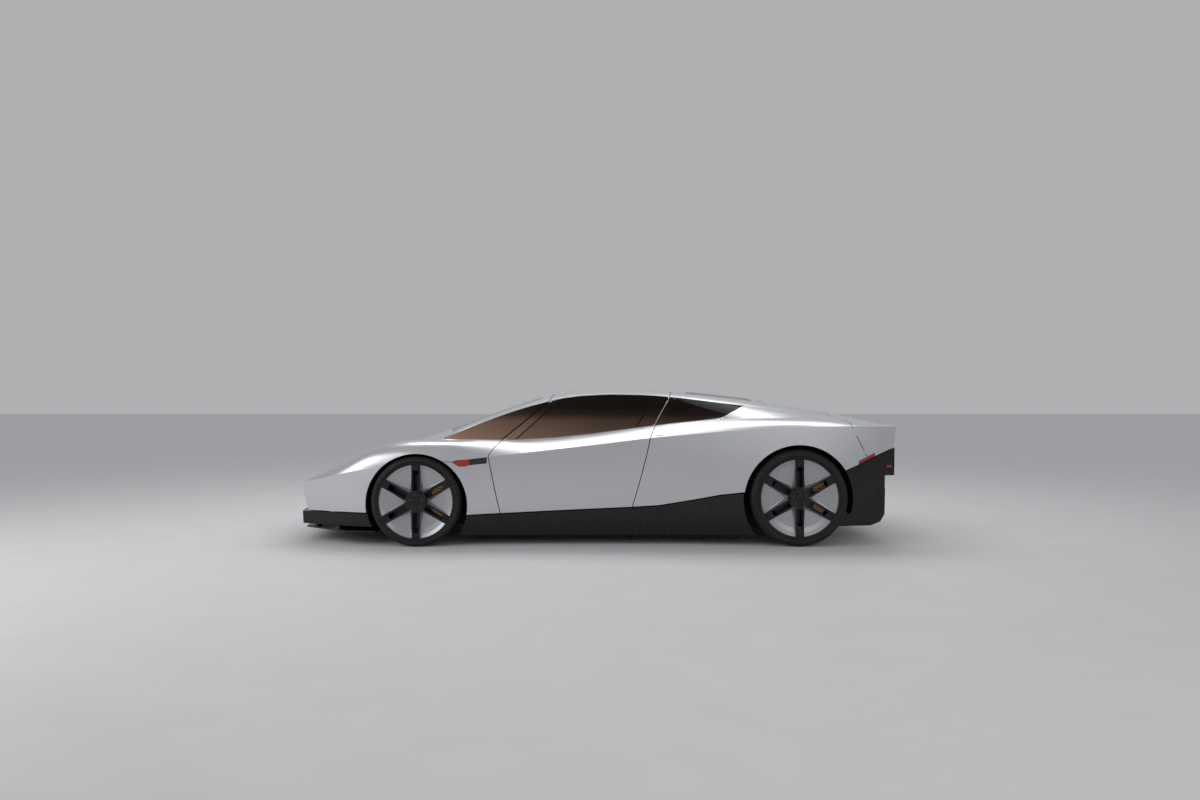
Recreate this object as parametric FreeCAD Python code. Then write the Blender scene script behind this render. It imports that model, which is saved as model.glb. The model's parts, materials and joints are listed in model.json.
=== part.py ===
"""Wedge-shaped two-seat supercar with gullwing doors, built as separate panels, glass, wheels and running gear.

Frame: +X runs to the tail, +Z up, the car's left side is at negative Y. The origin is on the ground at the
middle of the overall length. Every length is in millimetres.
"""
import FreeCAD
import Part
import math
import os
from FreeCAD import Vector

# Overall size and axles
NOSE_X = -2345.0
TAIL_X = 2345.0
FRONT_AXLE_X = -1341.0
REAR_AXLE_X = 1547.0
BODY_BOTTOM_Z = 70.0

# Panels and clearances
GAP = 6.0
SKIN = 34.0
GLASS = 6.0
BOND = 0.4
DOOR_WALL = 105.0
DOOR_BELT_WALL = 45.0
SHADOW_GAP = 12.0
SILL_INSET = 22.0
SILL_WALL = 40.0

# Guide curves of the body's left half, as (x, value)
CREASE_Z = ((-2420, 436), (-2262, 468), (-1990, 528), (-1733, 583), (-1145, 637), (-795, 676), (-15, 765),
            (408, 816), (795, 853), (1140, 881), (1455, 899), (1770, 906), (2292, 903), (2420, 900))
CREASE_Y = ((-2420, 735), (-2262, 785), (-1990, 874), (-1733, 944), (-1341, 984), (-795, 969), (-15, 950),
            (795, 955), (1455, 968), (1900, 944), (2292, 900), (2420, 882))
BELT_Z = ((-2420, 440), (-2262, 478), (-2064, 566), (-1868, 662), (-1751, 716), (-1634, 756), (-1500, 784),
          (-1330, 797), (-1000, 797), (-611, 793), (-15, 841), (331, 887), (817, 943), (1140, 962), (1455, 966),
          (1770, 956), (2292, 908), (2420, 902))
BELT_Y = ((-2420, 640), (-2262, 690), (-1868, 752), (-1517, 782), (-1182, 795), (-611, 802), (-15, 797),
          (331, 792), (817, 792), (1140, 800), (1770, 806), (2292, 780), (2420, 770))
RAIL_Z = ((-2420, 438), (-2262, 482), (-2000, 584), (-1700, 708), (-1450, 776), (-1215, 800), (-1100, 843),
          (-909, 921), (-641, 1018), (-418, 1084), (-241, 1124), (-60, 1145), (125, 1153), (379, 1149),
          (592, 1136), (840, 1107), (1190, 1062), (1551, 1014), (1793, 980), (2036, 944), (2292, 908),
          (2420, 892))
RAIL_Y = ((-2420, 520), (-2262, 560), (-1868, 630), (-1517, 700), (-1215, 748), (-909, 700), (-641, 665),
          (-241, 625), (125, 606), (592, 600), (1190, 612), (1551, 610), (2036, 592), (2420, 555))
CENTRE_Z = ((-2420, 450), (-2345, 478), (-2000, 588), (-1700, 686), (-1450, 768), (-1200, 866), (-1000, 941),
            (-820, 1006), (-600, 1083), (-431, 1137), (-267, 1174), (-85, 1194), (132, 1201), (460, 1195),
            (824, 1174), (1066, 1149), (1309, 1117), (1551, 1081), (1793, 1040), (2036, 988), (2217, 944),
            (2345, 908), (2420, 888))
SIDE_Y = ((-2420, 690), (-2262, 745), (-1990, 854), (-1733, 952), (-1341, 992), (-795, 957), (-15, 936),
          (500, 940), (1132, 978), (1547, 990), (1850, 972), (2292, 875), (2420, 850))
SOFTNESS = ((-2420, 0.0), (-2200, 0.15), (-1900, 0.6), (-1650, 1.0), (-1150, 1.0), (-800, 0.25), (-200, 0.1),
            (900, 0.2), (1500, 0.45), (2100, 0.2), (2420, 0.0))
CABIN = ((-2420, 0.0), (-1330, 0.0), (-1080, 0.55), (-640, 1.0), (900, 1.0), (1700, 0.6), (2420, 0.0))
STATIONS = (-2420, -2240, -2060, -1880, -1700, -1520, -1350, -1215, -1080, -930, -780, -600, -420, -240, -60,
            140, 360, 600, 850, 1100, 1350, 1600, 1850, 2100, 2280, 2420)

# Nose and tail faces: arcs in plan, each leaning by its rake per mm of height
NOSE_CORNER_X = -2262.0
NOSE_HALF_W = 800.0
NOSE_EDGE_Z = 466.0
NOSE_RAKE = -0.245
TAIL_CORNER_X = 2292.0
TAIL_HALF_W = 930.0
TAIL_EDGE_Z = 901.0
TAIL_RAKE = 0.11
TAIL_CUT = ((2075, 660), (1948, 905), (1965, 960), (1965, 1200))

# Lower edge of the painted body in side view, as (x, z)
WAIST = ((-2400, 254), (-1500, 254), (-961, 239), (-714, 251), (-126, 278), (287, 297), (494, 310), (747, 353),
         (959, 393), (1146, 413), (1560, 480), (1905, 578), (1999, 618), (2148, 690), (2290, 752), (2400, 806))

# Wheel arches and their liners
FRONT_ARCH_R = 386.0
REAR_ARCH_R = 417.0
FRONT_ARCH_DROP = 26.0
REAR_ARCH_DROP = 17.0
ARCH_INNER_Y = 600.0
FRONT_LINER_R = 404.0
REAR_LINER_R = 424.0
LINER_T = 4.0
FRONT_LINER_Y = 560.0
REAR_LINER_Y = 616.0
LINER_HOLE_R = 190.0
LINER_BOTTOM_Z = 130.0

# Door: its outline as (x, distance from the hinge axis), and the hinge along X under the roof skin
DOOR_FRONT_LINE = ((-322, 44), (-345, 345), (-704, 624), (-795, 828), (-705, 1127), (-640, 1400))
DOOR_REAR_LINE = ((635, 44), (591, 345), (470, 560), (424, 741), (292, 1060), (240, 1400))
DOOR_HINGE_Y = 290.0
DOOR_HINGE_Z = 1165.0
DOOR_EDGE_R = 44.0
DOOR_HINGE_X = (-180.0, 470.0)
DOOR_HINGE_L = 60.0
HINGE_PIN_R = 4.0
HINGE_EYE_R = 8.0
PIN_PLAY = 0.05

# Lids, each hinged along Y at the end that points to the cabin
BONNET_HINGE_X = -1400.0
BONNET_HINGE_Z = 773.0
BONNET_EDGE_R = 26.0
BONNET_REACH = 690.0
BONNET_REAR_HALF_W = 520.0
BONNET_FRONT_HALF_W = 470.0
REAR_LID_HINGE_X = 1340.0
REAR_LID_HINGE_Z = 1081.0
REAR_LID_EDGE_R = 46.0
REAR_LID_REACH = 560.0
REAR_LID_FRONT_HALF_W = 480.0
REAR_LID_REAR_HALF_W = 520.0
LID_HINGE_Y = 380.0
LID_HINGE_L = 60.0
HINGE_ROOM_R = 24.0

# Glass: how far it stays from the belt and rail, laps over its frame and stays from the door's edge
GLASS_EDGE = 5.0
GLASS_LAP = 12.0
DOOR_GLASS_EDGE = 16.0
DOOR_CLEAR_FOOT = (-600.0, 322.0)
DOOR_CLEAR_HEAD = (-262.0, 478.0)
WINDOW_APEX_X = -1165.0
REAR_GLASS_FOOT = (994.0, 970.0)
REAR_GLASS_TIP_X = 1182.0
REAR_CLEAR_X = 545.0
REAR_CLEAR_FOOT = (966.0, 984.0)
REAR_CLEAR_TIP_X = 1120.0
PILLAR_W = 150.0
CANOPY_REAR_X = 700.0
SCREEN_TOP_X = -420.0
SCREEN_FOOT = ((-1185, 0), (-1172, 350))
REAR_SCREEN_X = (745.0, 1280.0)
REAR_SCREEN_HALF_W = (470.0, 430.0)

# Black lower body: splitter, sills and the bumper with its diffuser
SPLITTER_CORNER_X = -2260.0
SPLITTER_BOTTOM_Z = 141.0
BLADE_Z = 98.0
BLADE_T = 12.0
BLADE_EDGE = ((-2282, 598), (-1885, 886), (-1640, 900))
RIB_X = (-2190.0, -1790.0)
RIB_T = 16.0
RIB_TOP_Z = 200.0
RIB_Y = (545.0, 640.0)
SILL_BOTTOM_Z = 76.0
BUMPER_CORNER_X = 2287.0
BUMPER_STEP = 74.0
LEDGE_Z = 530.0
LEDGE_T = 15.0
BUMPER_EDGE = ((1840, 232), (1923, 232), (2038, 293), (2109, 364), (2162, 432), (2420, 440))
RAMP_START = (1850.0, 98.0)
RAMP_END = (2215.0, 436.0)
RAMP_T = 14.0
RAMP_HALF_W = 596.0
VANE_Y = (200.0, 580.0)
VANE_T = 16.0
VANE_LINE = ((2200, 106), (2278, 138), (2312, 200), (2316, 400), (2300, 426))

# Floor tub, bulkheads and jacking pads
FLOOR_Z = 80.0
FLOOR_T = 24.0
TUB_WALL = 24.0
TUB_NOSE_X = -2050.0
TUB_NOSE_HALF_W = 540.0
TUB_NOSE_TOP_Z = 330.0
DASH_WALL_X = -960.0
COWL_WALL_X = -1480.0
COWL_WALL_TOP_Z = 600.0
REAR_WALL_X = 760.0
FLOOR_REAR_X = 1130.0
TUB_TAIL_X = 1840.0
TUB_TAIL_HALF_W = 600.0
TUB_TAIL_Z = 98.0
TUB_RAIL = 40.0
TUB_TAIL_TOP_Z = 430.0
DASH_WALL_TOP_Z = 740.0
REAR_WALL_TOP_Z = 930.0
SILL_BOX_Y = (700.0, 815.0)
SILL_BOX_TOP_Z = 235.0
JACK_X = (-850.0, 1050.0)
JACK_Y = 700.0
JACK_PAD = (90.0, 70.0)
JACK_DROP = 6.0

# Cabin
SEAT_Y = (140.0, 600.0)
SEAT_LINE = ((-120, 104), (420, 104), (600, 360), (720, 900), (640, 930), (560, 900), (380, 380), (300, 320),
             (-110, 390), (-170, 350))
DASH_LINE = ((-935, 430), (-935, 735), (-760, 775), (-560, 760), (-520, 700), (-600, 620), (-760, 560))
DASH_HALF_W = 800.0
DASH_KNEE_X = (-700.0, 0.0)
DASH_KNEE_Y = 695.0
CONSOLE_X = (-800.0, 420.0)
CONSOLE_HALF_W = 110.0
CONSOLE_TOP_Z = 400.0
STEERING_CENTRE = (-400.0, -370.0, 690.0)
STEERING_TILT = 66.0
STEERING_R = 175.0
STEERING_GRIP_R = 14.0
STEERING_SIDES = 8
STEERING_HUB_R = 45.0
STEERING_BAR_W = 32.0
STEERING_BAR_T = 16.0
COLUMN_R = 25.0
COLUMN_L = 240.0

# Drive unit
DRIVE_X = (830.0, 1380.0)
DRIVE_HALF_W = 300.0
DRIVE_TOP_Z = 600.0

# Lamps
HEADLAMP_Y = (430.0, 700.0)
HEADLAMP_Z = (396.0, 424.0)
HEADLAMP_DEPTH = 20.0
TAIL_STRIP_X = (1999.0, 2160.0)
TAIL_STRIP_H = 26.0
TAIL_BAR_Z = (800.0, 824.0)
TAIL_BAR_HALF_W = 800.0
LAMP_T = 18.0
SIDE_LAMP = ((-1072, 638), (-1041, 653), (-935, 660), (-806, 675), (-806, 628), (-935, 615), (-973, 604),
             (-1018, 604))
SIDE_LAMP_T = 12.0

# Wheels: depths are measured inward from the wheel's outer face
FRONT_TYRE_R = 340.0
REAR_TYRE_R = 366.0
FRONT_TYRE_W = 245.0
REAR_TYRE_W = 305.0
FRONT_RIM_R = 292.0
REAR_RIM_R = 306.0
WHEEL_FACE_Y = 975.0
RIM_LIP_W = 5.0
RIM_LIP_H = 4.0
RIM_WALL = 20.0
DISH_STEP = 15.0
TYRE_BULGE = 4.0
SHOULDER_W = 24.0
SHOULDER_H = 20.0
TYRE_SIDES = 96
HUB_R = 68.0
HUB_BACK = 70.0
HUB_BORE_FROM = 27.0
SPINDLE_R = 24.0
SPOKE_COUNT = 6
SPOKE_W = 66.0
SPOKE_DEPTH = 38.0
SLOT_W = 40.0
SLOT_R0 = 84.0
SLOT_R1 = 234.0
INSERT_R0 = 76.0
INSERT_DEEP = 46.0
INSERT_FOLDS = ((30.0, 62.0), (21.0, 27.0), (9.0, 0.0))
INSERT_T = 7.0

# Brakes, uprights and suspension arms
DISC_HAT_R = 100.0
DISC_FRONT = 77.0
DISC_BACK = 105.0
DISC_R = 200.0
CALIPER_FRONT = 60.0
CALIPER_R0 = 130.0
CALIPER_R1 = 222.0
CALIPER_HALF_ANGLE = 34.0
PAD_GAP = 6.0
KNUCKLE_FACE = 125.0
KNUCKLE_T = 50.0
KNUCKLE_HALF_W = 42.0
KNUCKLE_HALF_H = 110.0
KINGPIN_Y = 825.0
KINGPIN_R = 11.0
ARM_HALF_W = 26.0
ARM_T = 24.0
BEAM_HALF_L = 150.0
BEAM_DEPTH = 12.0

# Far planes, well outside the car
BIG = 6000.0
FAR_X = 2500.0
FAR_Y = 1100.0
FAR_Z = 1400.0


def monotone(points):
    """A smooth curve through (x, value) points that doesn't overshoot them."""
    xs = [p[0] for p in points]
    ys = [p[1] for p in points]
    steps = [b - a for a, b in zip(xs, xs[1:])]
    slopes = [(b - a) / h for a, b, h in zip(ys, ys[1:], steps)]
    tangents = [slopes[0]]
    for i in range(1, len(slopes)):
        before, after = slopes[i - 1], slopes[i]
        if before * after <= 0:
            tangents.append(0.0)
            continue
        w1 = 2 * steps[i] + steps[i - 1]
        w2 = steps[i] + 2 * steps[i - 1]
        tangents.append((w1 + w2) / (w1 / before + w2 / after))
    tangents.append(slopes[-1])

    def value(x):
        i = 0
        while i < len(steps) - 1 and x > xs[i + 1]:
            i += 1
        h = steps[i]
        t = min(1.0, max(0.0, (x - xs[i]) / h))
        a = (1 + 2 * t) * (1 - t) ** 2
        b = t * (1 - t) ** 2
        c = t * t * (3 - 2 * t)
        d = t * t * (t - 1)
        return a * ys[i] + b * h * tangents[i] + c * ys[i + 1] + d * h * tangents[i + 1]
    return value


crease_z = monotone(CREASE_Z)
crease_y = monotone(CREASE_Y)
belt_z = monotone(BELT_Z)
belt_y = monotone(BELT_Y)
rail_z = monotone(RAIL_Z)
rail_y = monotone(RAIL_Y)
centre_z = monotone(CENTRE_Z)
side_y = monotone(SIDE_Y)
softness = monotone(SOFTNESS)
cabin = monotone(CABIN)


def blend(a, b, t):
    """The point a share t of the way from a to b."""
    return (a[0] + (b[0] - a[0]) * t, a[1] + (b[1] - a[1]) * t)


def half_section(x, inset):
    """Bezier poles, as (y, z), of the right half's bands from the floor up to the roof's middle.

    inset is (side, belt, rail, roof): how far that part of the skin lies inside the outer surface.
    """
    side, belt, rail, roof = inset
    foot = (side_y(x) - 55 - side, BODY_BOTTOM_Z - 10)
    crease = (crease_y(x) - side, crease_z(x) - 0.12 * side)
    sill_pull = (side_y(x) + 8 - side, BODY_BOTTOM_Z + 0.42 * (crease[1] - BODY_BOTTOM_Z))
    crease_pull = (crease[0] + 0.35 * (side_y(x) - crease_y(x)) + 4, crease[1] - 0.3 * (crease[1] - foot[1]))
    top = (belt_y(x) - 0.85 * belt, belt_z(x) - 0.55 * belt)
    gutter = (rail_y(x) - 0.65 * rail, rail_z(x) - 0.75 * rail)
    ridge = (0.0, centre_z(x) - roof)
    soft = softness(x)
    up = blend(crease, top, 1 / 3)
    round_up = (crease[0] - 3, crease[1] + 0.68 * (top[1] - crease[1]))
    along = blend(crease, top, 2 / 3)
    round_over = (top[0] + 0.7 * (crease[0] - top[0]), top[1] + 0.02 * (top[1] - crease[1]))
    closed = cabin(x)
    bulge = 14 * closed
    glass_low = blend(top, gutter, 1 / 3)
    glass_high = blend(top, gutter, 2 / 3)
    flat_low = (top[0] - 0.35 * (top[0] - gutter[0]), top[1])
    low = blend(flat_low, (glass_low[0] + bulge, glass_low[1] + 0.5 * bulge), closed)
    high = (glass_high[0] + bulge, glass_high[1] + 0.5 * bulge)
    rise = ridge[1] - gutter[1]
    bonnet_pull = (0.72 * gutter[0], gutter[1] + 0.3 * rise)
    roof_pull = (0.86 * gutter[0], gutter[1] + 0.72 * rise)
    return (
        (foot, sill_pull, crease_pull, crease),
        (crease, blend(up, round_up, soft), blend(along, round_over, soft), top),
        (top, low, high, gutter),
        (gutter, blend(bonnet_pull, roof_pull, closed), (0.42 * gutter[0], ridge[1]), ridge),
    )


def bezier(x, poles, side):
    curve = Part.BezierCurve()
    curve.setPoles([Vector(x, side * y, z) for y, z in poles])
    return curve.toShape()


def section(x, inset):
    """One closed wire across the body."""
    bands = half_section(x, inset)
    left = [bezier(x, band, -1) for band in bands]
    right = [bezier(x, band[::-1], 1) for band in reversed(bands)]
    foot = bands[0][0]
    floor = Part.makeLine(Vector(x, foot[0], foot[1]), Vector(x, -foot[0], foot[1]))
    return Part.Wire(left + right + [floor])


def hull(depth, belt_depth=None, roof_depth=None):
    """The closed body form, lofted along the stations, set in by depth, each band an own face."""
    belt = depth if belt_depth is None else belt_depth
    roof = depth if roof_depth is None else roof_depth
    return Part.makeLoft([section(x, (depth, belt, roof, roof)) for x in STATIONS], True, False)


def polygon_xz(points, y=0.0):
    return Part.Face(Part.makePolygon([Vector(x, y, z) for x, z in list(points) + [points[0]]]))


def prism_y(points, low=-BIG, high=BIG):
    """A side-view outline drawn through from Y=low to Y=high."""
    return polygon_xz(points, low).extrude(Vector(0, high - low, 0))


def prism_z(points, low, high):
    """A plan-view outline drawn through from Z=low to Z=high."""
    face = Part.Face(Part.makePolygon([Vector(x, y, low) for x, y in list(points) + [points[0]]]))
    return face.extrude(Vector(0, 0, high - low))


def box(x0, x1, y0, y1, z0, z1):
    return Part.makeBox(x1 - x0, y1 - y0, z1 - z0, Vector(x0, y0, z0))


def slab(x0, x1, z0, z1):
    """A box across the whole car's width."""
    return box(x0, x1, -FAR_Y, FAR_Y, z0, z1)


def side_boxes(x0, x1, y0, y1, z0, z1):
    """The same box on both sides of the car, y counted outward from the middle."""
    return [box(x0, x1, y0, y1, z0, z1), box(x0, x1, -y1, -y0, z0, z1)]


def mirrored(shape):
    return shape.mirror(Vector(0, 0, 0), Vector(0, 1, 0))


def both_sides(shape):
    """The shape and its mirror image across the car's middle."""
    return [shape, mirrored(shape)]


def cylinder_y(x, z, radius, y0, y1):
    return Part.makeCylinder(radius, y1 - y0, Vector(x, y0, z), Vector(0, 1, 0))


def cylinder_x(y, z, radius, x0, x1):
    return Part.makeCylinder(radius, x1 - x0, Vector(x0, y, z), Vector(1, 0, 0))


def offset_line(points, distance):
    """A polyline moved sideways by distance, to the left of its direction, with mitred corners."""
    normals = []
    for (x0, y0), (x1, y1) in zip(points, points[1:]):
        length = math.hypot(x1 - x0, y1 - y0)
        normals.append(((y0 - y1) / length, (x1 - x0) / length))
    moved = []
    for i, (x, y) in enumerate(points):
        before = normals[max(0, i - 1)]
        after = normals[min(i, len(normals) - 1)]
        reach = distance / (1 + before[0] * after[0] + before[1] * after[1])
        moved.append((x + reach * (before[0] + after[0]), y + reach * (before[1] + after[1])))
    return moved


def plan_arc(end_x, middle_x, half_width, back_x, rake):
    """A block whose nose or tail face is an arc in plan; rake is its run in X per mm of height."""
    wide = 1500.0
    sweep = end_x + 0.6 * (end_x - middle_x)
    arc = Part.Arc(Vector(end_x, -half_width, 0), Vector(middle_x, 0, 0), Vector(end_x, half_width, 0))
    far = [Vector(end_x, half_width, 0), Vector(sweep, wide, 0), Vector(back_x, wide, 0),
           Vector(back_x, -wide, 0), Vector(sweep, -wide, 0), Vector(end_x, -half_width, 0)]
    wire = Part.Wire([arc.toShape()] + Part.makePolygon(far).Edges)
    return Part.Face(wire).extrude(Vector(rake * FAR_Z, 0, FAR_Z))


def nose_block(inset):
    """Everything behind the painted nose face, set back by inset."""
    shift = inset - NOSE_RAKE * NOSE_EDGE_Z
    return plan_arc(NOSE_CORNER_X + shift, NOSE_X + shift, NOSE_HALF_W, BIG, NOSE_RAKE)


def tail_block(inset):
    """Everything ahead of the painted tail face, set in by inset."""
    shift = -inset - TAIL_RAKE * TAIL_EDGE_Z
    return plan_arc(TAIL_CORNER_X + shift, TAIL_X + shift, TAIL_HALF_W, -BIG, TAIL_RAKE)


def splitter_block(inset):
    """Everything behind the splitter's upright front, set back by inset."""
    bow = NOSE_X - NOSE_CORNER_X
    return plan_arc(SPLITTER_CORNER_X + inset, SPLITTER_CORNER_X + bow + inset, NOSE_HALF_W, BIG, 0)


def bumper_block(inset, ledge_z):
    """Everything ahead of the bumper's upright face, stepped in below ledge_z."""
    bow = TAIL_X - TAIL_CORNER_X
    corner = BUMPER_CORNER_X - inset
    high = plan_arc(corner, corner + bow, TAIL_HALF_W, -BIG, 0).common(slab(-BIG, BIG, ledge_z, FAR_Z))
    corner -= BUMPER_STEP
    low = plan_arc(corner, corner + bow, TAIL_HALF_W, -BIG, 0).common(slab(-BIG, BIG, -10, ledge_z))
    return high.fuse(low)


def closed_hull(depth, belt_depth=None, roof_depth=None, end_inset=None):
    """The body form with its nose and tail faces cut, set in by depth."""
    ends = depth if end_inset is None else end_inset
    return hull(depth, belt_depth, roof_depth).common(nose_block(ends)).common(tail_block(ends))


def door_space(gap):
    """The left door's share of the car: an outline swung about the door's hinge axis.

    Nothing fixed lies inside it, so the door can swing without meeting the panels around it.
    """
    front = offset_line(DOOR_FRONT_LINE, gap)
    rear = offset_line(DOOR_REAR_LINE, -gap)
    edge = DOOR_EDGE_R - gap
    front[0] = (front[0][0], edge)
    rear[0] = (rear[0][0], edge)
    outline = front + rear[::-1]
    points = [Vector(x, -DOOR_HINGE_Y, DOOR_HINGE_Z - r) for x, r in outline]
    face = Part.Face(Part.makePolygon(points + points[:1]))
    return face.revolve(Vector(0, -DOOR_HINGE_Y, DOOR_HINGE_Z), Vector(-1, 0, 0), 180)


def lid_space(axis_x, axis_z, edge_r, reach, near_half_w, far_half_w, toward, gap):
    """A lid's share of the car, swung about its hinge axis along Y; toward is the lid's side of it."""
    near, far = edge_r - gap, reach + gap
    a, b = near_half_w + gap, far_half_w + gap
    outline = [(near, -a), (far, -b), (far, b), (near, a)]
    points = [Vector(axis_x, y, axis_z - r) for r, y in outline]
    face = Part.Face(Part.makePolygon(points + points[:1]))
    swept = face.revolve(Vector(axis_x, 0, axis_z), Vector(0, -toward, 0), 180)
    x0, x1 = sorted((axis_x, toward * FAR_X))
    return swept.common(slab(x0, x1, 0, FAR_Z))


def bonnet_space(gap):
    return lid_space(BONNET_HINGE_X, BONNET_HINGE_Z, BONNET_EDGE_R, BONNET_REACH, BONNET_REAR_HALF_W,
                     BONNET_FRONT_HALF_W, -1, gap)


def rear_lid_space(gap):
    return lid_space(REAR_LID_HINGE_X, REAR_LID_HINGE_Z, REAR_LID_EDGE_R, REAR_LID_REACH, REAR_LID_FRONT_HALF_W,
                     REAR_LID_REAR_HALF_W, 1, gap)


def above(line, drop=0.0):
    """The space above a side-view line, as a block across the whole car."""
    points = [(x, z - drop) for x, z in line]
    return prism_y(points + [(line[-1][0], FAR_Z), (line[0][0], FAR_Z)])


def below(line, drop=0.0):
    points = [(x, z - drop) for x, z in line]
    return prism_y(points + [(line[-1][0], -100), (line[0][0], -100)])


def arch_cutter(axle_x, axle_z, radius, inner):
    """The wheel openings of one axle, both sides."""
    return both_sides(cylinder_y(axle_x, axle_z, radius, -FAR_Y, -inner))


def door_hinge_parts():
    """The left door's hinge eyes, the room they swing in, and the fixed pins."""
    eyes, rooms, pins = [], [], []
    y, z = -DOOR_HINGE_Y, DOOR_HINGE_Z
    for x in DOOR_HINGE_X:
        a, b = x - DOOR_HINGE_L / 2, x + DOOR_HINGE_L / 2
        arm = box(a, b, y - DOOR_EDGE_R - 2 * GAP, y, z - HINGE_EYE_R, z + 80)
        arm = arm.fuse(cylinder_x(y, z, HINGE_EYE_R, a, b)).common(outer)
        eyes.append(arm.cut(cylinder_x(y, z, HINGE_PIN_R + PIN_PLAY, a - 1, b + 1)))
        swing = max(section_top(x, DOOR_HINGE_Y) - z + 2 * GAP, 2 * HINGE_EYE_R)
        rooms.append(cylinder_x(y, z, swing, a - GAP, b + GAP))
        rooms.append(box(a - GAP, b + GAP, y - DOOR_EDGE_R - 20, y, z - HINGE_EYE_R - 10, z + 80))
        pins.append(cylinder_x(y, z, HINGE_PIN_R, a - GAP - 22, b + GAP + 22))
    return eyes, rooms, pins


def lid_hinge_parts(x, z, edge_r, toward):
    """A lid's hinge eyes, the room they swing in, and the fixed pins; toward points at the lid."""
    eyes, rooms, pins = [], [], []
    for y in (-LID_HINGE_Y, LID_HINGE_Y):
        a, b = y - LID_HINGE_L / 2, y + LID_HINGE_L / 2
        lo, hi = sorted((x, x + toward * (edge_r + 2 * GAP)))
        arm = box(lo, hi, a, b, z - HINGE_EYE_R, z + 80)
        arm = arm.fuse(cylinder_y(x, z, HINGE_EYE_R, a, b)).common(outer)
        eyes.append(arm.cut(cylinder_y(x, z, HINGE_PIN_R + PIN_PLAY, a - 1, b + 1)))
        rooms.append(cylinder_y(x, z, HINGE_ROOM_R, a - GAP, b + GAP))
        lo, hi = sorted((x, x + toward * (edge_r + 20)))
        rooms.append(box(lo, hi, a - GAP, b + GAP, z - HINGE_EYE_R - 10, z + 80))
        pins.append(cylinder_y(x, z, HINGE_PIN_R, a - GAP - 22, b + GAP + 22))
    return eyes, rooms, pins


def section_top(x, y):
    """Height of the bonnet, roof or rear deck at (x, y)."""
    band = half_section(x, (0, 0, 0, 0))[3]
    low, high = 0.0, 1.0
    for _ in range(40):
        t = (low + high) / 2
        weights = ((1 - t) ** 3, 3 * t * (1 - t) ** 2, 3 * t * t * (1 - t), t ** 3)
        at_y = sum(w * p[0] for w, p in zip(weights, band))
        at_z = sum(w * p[1] for w, p in zip(weights, band))
        if at_y > abs(y):
            low = t
        else:
            high = t
    return at_z


def glass_band(xs_low, xs_high, ends, edge):
    """Side-view outline between the belt and the rail on the left, edge away from both."""
    low = [(x, belt_z(x) + edge) for x in xs_low]
    high = [(x, rail_z(x) - edge) for x in xs_high]
    return prism_y(low + list(ends) + high, -FAR_Y, -300)


def revolved(profile, x, z, face_y):
    """A ring about a wheel's axle from (depth, radius) points; depth runs inward from the left wheel's face."""
    points = [Vector(x, face_y + a, z + r) for a, r in profile]
    face = Part.Face(Part.makePolygon(points + points[:1]))
    return face.revolve(Vector(x, 0, z), Vector(0, 1, 0), 360)


def tyre_ring(axle_x, tyre_r, width, rim_r):
    """The left tyre, a plain many-sided ring seated on the rim between its lips."""
    bead = rim_r + BOND
    foot = RIM_LIP_W + BOND
    wall_r = tyre_r - SHOULDER_H
    profile = [(foot, bead), (-TYRE_BULGE, wall_r), (SHOULDER_W, tyre_r), (width - SHOULDER_W, tyre_r),
               (width + TYRE_BULGE, wall_r), (width - foot, bead)]
    rows = []
    for i in range(TYRE_SIDES + 1):
        turn = 2 * math.pi * (i % TYRE_SIDES) / TYRE_SIDES
        rows.append([Vector(axle_x + r * math.cos(turn), a - WHEEL_FACE_Y, tyre_r + r * math.sin(turn))
                     for a, r in profile])
    faces = []
    for here, after in zip(rows, rows[1:]):
        for i in range(len(profile)):
            corners = [here[i - 1], here[i], after[i], after[i - 1], here[i - 1]]
            faces.append(Part.Face(Part.makePolygon(corners)))
    shell = Part.makeShell(faces)
    shell.sewShape()
    return Part.makeSolid(shell)


def rim_body(axle_x, axle_z, width, rim_r):
    """The left rim with its hub, slotted spokes and barrel."""
    face_y = -WHEEL_FACE_Y
    lip_r = rim_r + RIM_LIP_H
    dish_r = rim_r - DISH_STEP
    well_r = rim_r - RIM_WALL
    rim = revolved([(0, dish_r), (0, lip_r), (RIM_LIP_W, rim_r), (width - RIM_LIP_W, rim_r), (width, lip_r),
                    (width, well_r), (70, well_r), (16, dish_r)], axle_x, axle_z, face_y)
    hub = cylinder_y(axle_x, axle_z, HUB_R, face_y + 2, face_y + HUB_BACK)
    spokes = []
    slots = []
    for i in range(SPOKE_COUNT):
        bar = box(axle_x + 30, axle_x + dish_r + 4, face_y + 1, face_y + SPOKE_DEPTH, axle_z - SPOKE_W / 2,
                  axle_z + SPOKE_W / 2)
        slot = box(axle_x + SLOT_R0, axle_x + SLOT_R1, face_y - 10, face_y + 100, axle_z - SLOT_W / 2,
                   axle_z + SLOT_W / 2)
        for part, group in ((bar, spokes), (slot, slots)):
            part.rotate(Vector(axle_x, 0, axle_z), Vector(0, 1, 0), (i + 0.5) * 360 / SPOKE_COUNT)
            group.append(part)
    bore = cylinder_y(axle_x, axle_z, SPINDLE_R + PIN_PLAY, face_y + HUB_BORE_FROM, face_y + HUB_BACK + 1)
    return rim.fuse([hub] + spokes).cut(slots + [bore]).removeSplitter()


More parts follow.
